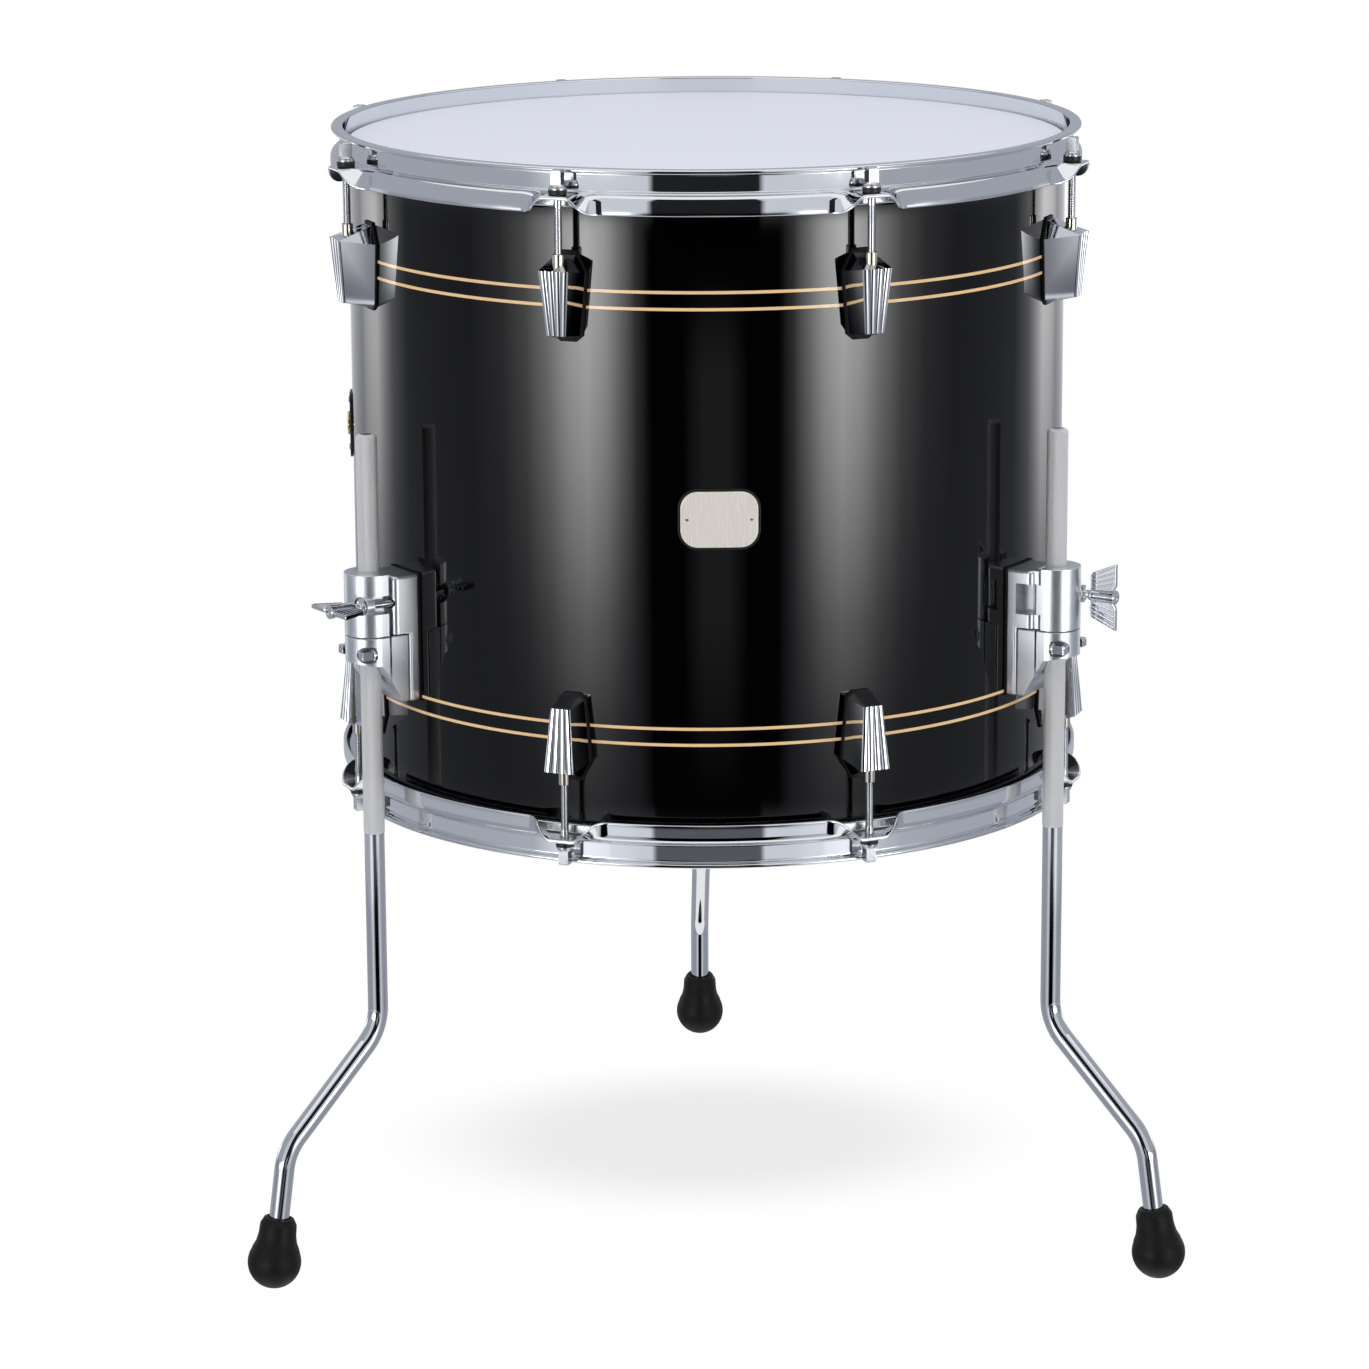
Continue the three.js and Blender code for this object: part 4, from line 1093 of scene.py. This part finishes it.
def base_form():
    head = extruded(base_outline(BASE_FRONT, BASE_CORNER), GAP, BASE_TOP)
    ease_edges(head, BASE_EASE, 5, above(BASE_TOP - HAIR), 60)
    ease_edges(head, SEAM_EASE, 2, below(GAP + HAIR), 60)
    tail = extruded(base_outline(TAIL_FRONT, TAIL_CORNER), BASE_BOTTOM, OVERRUN)
    ease_edges(tail, TAIL_EASE, 4, below(BASE_BOTTOM + HAIR), 60)
    post = on_hinge(rod(KNUCKLE_R, GAP, BASE_TOP, 32, POST_EASE))
    across = (HINGE.y - KNUCKLE_R, HINGE.y + KNUCKLE_R)
    root = block((BASE_FRONT - KNUCKLE_ROOT, HINGE.x), across, (GAP, BASE_TOP), KNUCKLE_EASE)
    reach = (BASE_FRONT - OVERRUN, -LEG_R - KNURL_LIP - PAD_PLAY)
    pad = block(reach, (-PAD_HALF, PAD_HALF), (PAD_INSET, BASE_TOP - PAD_INSET), PAD_EASE)
    opened = (KNUCKLE[0] - GAP, KNUCKLE[1] + GAP)
    window = block((BASE_FRONT - WINDOW_DEPTH, 0), (-BASE_HALF - OVERRUN, -WINDOW_SIDE), opened)
    hole = on_bolt(rod(POCKET_R, POCKET_END, OVERRUN, 28))
    body = cut(joined(head, tail, post, root, pad), window, hole)
    return merged(body, on_hinge(rod(HINGE_PIN_R, HINGE_PIN_INSET, BASE_TOP - HINGE_PIN_INSET, 20)))


def jaw_outline():
    return [
        Vector((JAW_HINGE_END, -JAW_R)), *arc((0, 0), JAW_R, -90, 90, 36),
        Vector((JAW_FREE_END, JAW_R)), Vector((JAW_FREE_END, JAW_BORE_R)),
        *arc((JAW_BORE_SHIFT, 0), JAW_BORE_R, 90, -90, 24), Vector((JAW_HINGE_END, -JAW_BORE_R)),
    ]


def jaw_form():
    plate = extruded(jaw_outline(), GAP, JAW_TOP)
    ease_edges(plate, JAW_TOP_EASE, 3, on_outside(JAW_R - HAIR, above(JAW_TOP - HAIR)), 60)
    ease_edges(plate, JAW_SEAM_EASE, 2, on_outside(JAW_R - HAIR, below(GAP + HAIR)), 60)
    knuckle = on_hinge(rod(KNUCKLE_R, *KNUCKLE, 32, KNUCKLE_EASE))
    web = block((HINGE.x, 0.0), (HINGE.y - KNUCKLE_R, -JAW_BORE_R), KNUCKLE)
    boss = on_bolt(rod(BOSS_R, BOSS_START, BOSS_FACE, 40, BOSS_EASE))
    notch = block(NOTCH_DEPTHS, NOTCH_SIDES, (BOLT_RISE - NOTCH_HEIGHT / 2, BOLT_RISE + NOTCH_HEIGHT / 2))
    hole = on_bolt(rod(BOLT_HOLE_R, 0, BOSS_FACE + OVERRUN, 28))
    spot = on_bolt(rod(SPOT_FACE_R, BOSS_FACE, JAW_R + OVERRUN, 40))
    pin_hole = on_hinge(rod(HINGE_HOLE_R, 0, JAW_TOP, 20))
    return cut(joined(plate, knuckle, web, boss), notch, hole, spot, pin_hole)


def wing_form():
    """Spindle, flared hub and two ribbed wings, along x from the leg's axis."""
    spindle = turned([
        (0, BOLT_TIP), (BOLT_R - BOLT_CHAMFER[0], BOLT_TIP), (BOLT_R, BOLT_TIP + BOLT_CHAMFER[1]),
        (BOLT_R, WING_SEAT), *[(radius, WING_SEAT + along) for radius, along in WING_HUB],
        *[(radius, WING_END - back) for radius, back in WING_CAP],
    ], 32)
    forms = [moved(spindle, ALONG_X)]
    corners = [(WING_SEAT + along, out) for along, out in WING_ROOT]
    corners += [(WING_END - back, out) for back, out in WING_TIP]
    outline = eased(corners, WING_CUTS)
    rib_half_height = WING_HALF_THICK + RIB_PROUD
    for side in (1, -1):
        flat = extruded([(p.x, side * p.y) for p in outline], -WING_HALF_THICK, WING_HALF_THICK)
        forms.append(moved(ease_edges(flat, WING_EASE, 2, None, 50), ALONG_Y))
        for rib in range(RIBS):
            low = Vector((WING_SEAT + RIB_START, side * (RIB_ROOTS[0] + RIB_ROOTS[1] * rib)))
            high = Vector((WING_END - RIB_STOP, side * (RIB_TIPS[0] + RIB_TIPS[1] * rib)))
            run = high - low
            bar = block(
                (0, run.length), (-RIB_HALF, RIB_HALF), (-rib_half_height, rib_half_height), RIB_EASE,
            )
            turn = Matrix.Rotation(math.atan2(run.y, run.x), 4, "Z")
            forms.append(moved(bar, ALONG_Y @ at(low.x, low.y) @ turn))
    return merged(*forms)


def lock_form():
    outline = [(LOCK_BACK, -JAW_R), *arc((0, 0), JAW_R, -90, 90, 36), (LOCK_BACK, JAW_R)]
    blank = ease_edges(extruded(outline, BASE_BOTTOM, LOCK_TOP), LOCK_EASE, 3, None, 60)
    low, side = BASE_BOTTOM - OVERRUN, JAW_R + OVERRUN
    under = [(side, BELLY_RISES[0]), (0, BELLY_RISES[1]), (BELLY_BACK, low), (side, low)]
    belly = moved(extruded(under, -side, side), ALONG_Y)
    bore = rod(LOCK_BORE_R, low, OVERRUN, 40)
    split = block(LOCK_SPLIT, (-side, side), (low, OVERRUN))
    recesses = [
        moved(rod(RECESS_R, RECESS_FLOOR, side, 40), at(y=y, z=KEY_FALL) @ ALONG_X)
        for y in (-KEY_SIDE, KEY_SIDE)
    ]
    return cut(blank, belly, bore, split, *recesses)


def key_bolt_form():
    """Square-headed bolt with a round collar, along x."""
    collar = moved(turned([(0, KEY_TIP), (KEY_BOLT_R, KEY_TIP), *KEY_COLLAR], 28), ALONG_X)
    half = KEY_HEAD_HALF
    head = block(KEY_HEAD, (-half, half), (-half, half))
    ease_edges(head, KEY_HEAD_EASE, 3, lambda edge: min(v.co.x for v in edge.verts) > sum(KEY_HEAD) / 2)
    return merged(collar, head)


def clamp_gasket_form():
    outline = base_outline(BASE_BACK + PACKING_THICK, PACKING_CORNER)
    form = extruded(outline, BASE_BOTTOM - PACKING_LIP, BASE_TOP + PACKING_LIP)
    return moved(form, Matrix.Diagonal((1, 1 + PACKING_LIP / BASE_HALF, 1, 1)))


def add_legs():
    bar, knurl, foot = leg_form(), knurl_form(), foot_form()
    base, jaw, wing, lock, key = base_form(), jaw_form(), wing_form(), lock_form(), key_bolt_form()
    gasket = clamp_gasket_form()
    for n, azimuth in LEG_AZIMUTHS.items():
        stand = station(azimuth, LEG_CIRCLE)
        clamp = station(azimuth, LEG_CIRCLE, SEAM)
        bolt = clamp @ at(y=BOLT_SIDE, z=BOLT_RISE) @ Matrix.Rotation(math.radians(WING_TURNS[n]), 4, "X")
        leg_body, jaw_body = f"leg_{n}", f"clamp_jaw_{n}"
        bolt_body, lock_body = f"wing_bolt_{n}", f"memory_lock_{n}"
        piece(f"leg_bar_{n}", bar, stand, leg_body, leg_chrome, [leg_body])
        piece(f"leg_knurl_{n}", knurl, stand, leg_body, knurled)
        piece(f"rubber_foot_{n}", foot, stand, leg_body, foot_rubber, [f"foot_{n}"])
        piece(f"clamp_base_{n}", base, clamp, "drum", clamp_chrome, [f"bracket_base_{n}"])
        piece(f"clamp_gasket_{n}", gasket, clamp, "drum", foot_rubber)
        piece(f"clamp_front_{n}", jaw, clamp, jaw_body, clamp_chrome, [jaw_body])
        piece(f"wing_screw_{n}", wing, bolt, bolt_body, cast_chrome, [bolt_body])
        piece(f"lock_ring_{n}", lock, clamp, lock_body, clamp_chrome, [lock_body])
        for side, y in enumerate((-KEY_SIDE, KEY_SIDE), 1):
            place = clamp @ at(y=y, z=KEY_FALL)
            piece(f"key_bolt_{n}_{side}", key, place, lock_body, cast_chrome)


# Studio: a stop is (share of the half turn from the front, level), a height (height, level).
# The fill's levels pass 1, so its ramp holds them halved.

STUDIO_R = 3.0
STUDIO_LOW, STUDIO_HIGH = -3.6, 3.2
PANEL_GLOW = 12.6
PANEL_TURN, CARD_TURN = -0.02, 0.024
PANEL_STOPS = (
    (0.0, 0.0), (0.112, 0.0), (0.133, 0.05), (0.16, 0.33), (0.186, 0.72), (0.218, 1.0), (0.25, 0.80),
    (0.287, 0.38), (0.33, 0.12), (0.377, 0.03), (0.445, 0.0), (0.611, 0.0), (0.663, 0.05), (0.693, 0.14),
    (0.724, 0.24), (0.765, 0.15), (0.806, 0.05), (1.0, 0.05),
)
PANEL_HEIGHTS = (
    (-0.44, 0.028), (-0.33, 0.08), (-0.21, 0.22), (-0.01, 0.61), (0.1, 0.79), (0.25, 1.0),
    (0.275, 1.0), (0.292, 0.0),
)
CARD_STOPS = ((0.085, 0.0), (0.095, 0.27), (0.24, 0.27), (0.3, 0.0))
CARD_HEIGHTS = ((-0.58, 0.0), (-0.55, 1.0), (-0.45, 1.0), (-0.43, 0.0), (0.27, 0.0), (0.288, 1.0))
HUMP_STOPS = ((0.02, 0.3), (0.055, 0.0))
HUMP_HEIGHTS = ((-0.43, 0.0), (-0.19, 1.0), (0.1, 1.0), (0.22, 0.0))
FILL = (0.284, 0.297, 0.337)
FILL_STOPS = ((0.105, 0.0), (0.133, 1.0))
EDGE_STOPS = ((0.085, 0.0), (0.095, 1.0))
FILL_HEIGHTS = (
    (-0.66, 1.15), (-0.58, 1.1), (-0.55, 1.5), (-0.45, 1.5), (-0.43, 1.05), (0.27, 0.9), (0.288, 1.4),
)
FILL_HALVING = 0.5
GAP_HEIGHTS = ((-0.58, 0.0), (-0.55, 0.25), (-0.45, 0.25), (-0.43, 0.0), (0.27, 0.0), (0.288, 0.04))
FLOOR_R = 9
FLOOR_GREY = (0.9, 0.9, 0.9)
FADE_SHIFT, FADE_SCALE = (0.0, -0.06, 0.0), (1.0, 1.4, 1.0)
FADE_REACH, FADE_LEVELS = (0.09, 0.25), (0.66, 1.0)
WORLD_LEVELS = (0.55, 1.0)
LAMPS = (
    ("top_box", (0.0, -0.6, 2.6), (0, 0, 0.4), (2.2, 2.2), 23.5),
    ("left_box", (-2.2, -1.6, 1.5), (0, 0, 0.5), (0.9, 1.8), 8.7),
    ("right_box", (2.2, -1.6, 1.5), (0, 0, 0.5), (0.9, 1.8), 8.7),
)
CAMERA_PLACE = (-0.06824, -3.16708, 1.10884)
CAMERA_YAW, CAMERA_PITCH, CAMERA_ROLL = 0.016899, 0.240535, -0.005389
FOCAL_SHARE = 4889.93 / 1369


def add_camera():
    data = bpy.data.cameras.new("camera")
    data.sensor_fit = "HORIZONTAL"
    data.lens = data.sensor_width * FOCAL_SHARE
    data.clip_end = 20
    camera = linked("camera", data)
    turn = Matrix.Rotation(-CAMERA_YAW, 4, "Z") @ Matrix.Rotation(math.pi / 2 - CAMERA_PITCH, 4, "X")
    camera.matrix_world = at(*CAMERA_PLACE) @ turn @ Matrix.Rotation(CAMERA_ROLL, 4, "Z")
    bpy.context.scene.camera = camera


def add_lamp(name, place, target, size, power):
    data = bpy.data.lights.new(name, "AREA")
    data.shape = "RECTANGLE"
    data.size, data.size_y = size
    data.energy = power
    lamp = linked(name, data)
    aim = (Vector(target) - Vector(place)).to_track_quat("-Z", "Y").to_matrix().to_4x4()
    lamp.matrix_world = at(*place) @ aim
    lamp.visible_glossy = False
    lamp.visible_camera = False


def add_reflection_wall():
    """A ring of panels round the drum, seen only by its gloss, with dark gaps between the soft boxes."""
    wall = bmesh.new()
    bmesh.ops.create_cone(
        wall, cap_ends=False, segments=96, radius1=STUDIO_R, radius2=STUDIO_R, depth=STUDIO_HIGH - STUDIO_LOW,
        matrix=at(CENTRE.x, CENTRE.y, (STUDIO_LOW + STUDIO_HIGH) / 2),
    )
    material = bpy.data.materials.new("studio panels")
    material.use_nodes = True
    tree = material.node_tree
    tree.nodes.clear()
    parts = node(material, "ShaderNodeSeparateXYZ", {0: mapped(material, (-CENTRE.x, -CENTRE.y, 0.0))})
    forward = maths(material, "MULTIPLY", parts.outputs["Y"], -1.0)
    angle = maths(material, "ARCTAN2", parts.outputs["X"], forward)
    height = parts.outputs["Z"]

    def share_of_turn(turn):
        off_front = maths(material, "ABSOLUTE", maths(material, "ADD", angle, turn))
        return maths(material, "DIVIDE", off_front, math.pi)

    def patch(share, stops, heights):
        return maths(
            material, "MULTIPLY", graded(material, share, stops), graded(material, height, heights),
        )

    panel_share, card_share = share_of_turn(PANEL_TURN), share_of_turn(CARD_TURN)
    panels = maths(material, "MULTIPLY", patch(panel_share, PANEL_STOPS, PANEL_HEIGHTS), PANEL_GLOW)
    cards = patch(card_share, CARD_STOPS, CARD_HEIGHTS)
    hump = patch(panel_share, HUMP_STOPS, HUMP_HEIGHTS)
    lit = maths(material, "ADD", panels, maths(material, "ADD", cards, hump))
    sides = node(material, "ShaderNodeMix", {
        0: graded(material, height, CARD_HEIGHTS),
        2: graded(material, panel_share, FILL_STOPS), 3: graded(material, card_share, EDGE_STOPS),
    }).outputs[0]
    sides = maths(material, "MAXIMUM", sides, graded(material, height, GAP_HEIGHTS))
    level = maths(material, "MULTIPLY", sides, graded(material, height, FILL_HEIGHTS, FILL_HALVING))
    level = maths(material, "DIVIDE", level, FILL_HALVING)
    fill = node(material, "ShaderNodeVectorMath", {0: FILL, 3: level}, operation="SCALE")
    glows = node(material, "ShaderNodeVectorMath", {0: fill.outputs[0], 1: lit}, operation="ADD")
    glow = node(material, "ShaderNodeEmission", {"Color": glows.outputs[0]})
    node(material, "ShaderNodeOutputMaterial", {0: glow.outputs[0]})
    obj = linked("studio_panels", mesh_of(wall, "studio_panels"))
    obj.data.materials.append(material)
    obj.visible_camera = False
    obj.visible_diffuse = False
    obj.visible_shadow = False
    obj.visible_transmission = False


def add_floor():
    """Pale floor that fades into the white backdrop and keeps the drum's shadow."""
    floor = bmesh.new()
    bmesh.ops.create_circle(floor, cap_ends=True, radius=FLOOR_R, segments=96)
    material = plain_finish("pale floor", FLOOR_GREY, 0.9, Specular_IOR_Level=0.0)
    tree = material.node_tree
    shader, output = tree.nodes["Principled BSDF"], tree.nodes["Material Output"]
    white = node(material, "ShaderNodeEmission", {"Strength": 1.0})
    oval = mapped(material, FADE_SHIFT, FADE_SCALE)
    away = node(material, "ShaderNodeVectorMath", {0: oval}, operation="LENGTH").outputs["Value"]
    fade = ranged(material, away, *FADE_REACH, *FADE_LEVELS, "SMOOTHSTEP")
    seen = node(material, "ShaderNodeLightPath").outputs["Is Camera Ray"]
    mix = node(material, "ShaderNodeMixShader", {
        0: maths(material, "MULTIPLY", fade, seen), 1: shader.outputs[0], 2: white.outputs[0],
    })
    tree.links.new(mix.outputs[0], output.inputs[0])
    obj = linked("floor", mesh_of(floor, "floor"))
    obj.data.materials.append(material)
    obj.visible_glossy = False


def add_world():
    """White to the camera, to gloss and through glass, and a softer level for the light on the drum."""
    world = bpy.data.worlds.new("studio")
    bpy.context.scene.world = world
    world.use_nodes = True
    rays = node(world, "ShaderNodeLightPath").outputs
    seen = rays["Is Camera Ray"]
    for ray in ("Is Glossy Ray", "Is Transmission Ray"):
        seen = maths(world, "MAXIMUM", seen, rays[ray])
    backdrop = world.node_tree.nodes["Background"]
    backdrop.inputs["Color"].default_value = (1, 1, 1, 1)
    strength = ranged(world, seen, 0.0, 1.0, *WORLD_LEVELS)
    world.node_tree.links.new(strength, backdrop.inputs["Strength"])


def add_studio():
    add_world()
    add_floor()
    add_reflection_wall()
    for lamp in LAMPS:
        add_lamp(*lamp)


bpy.context.scene.view_settings.view_transform = "Standard"
add_camera()
add_shell()
add_heads()
add_tension()
add_legs()
add_studio()
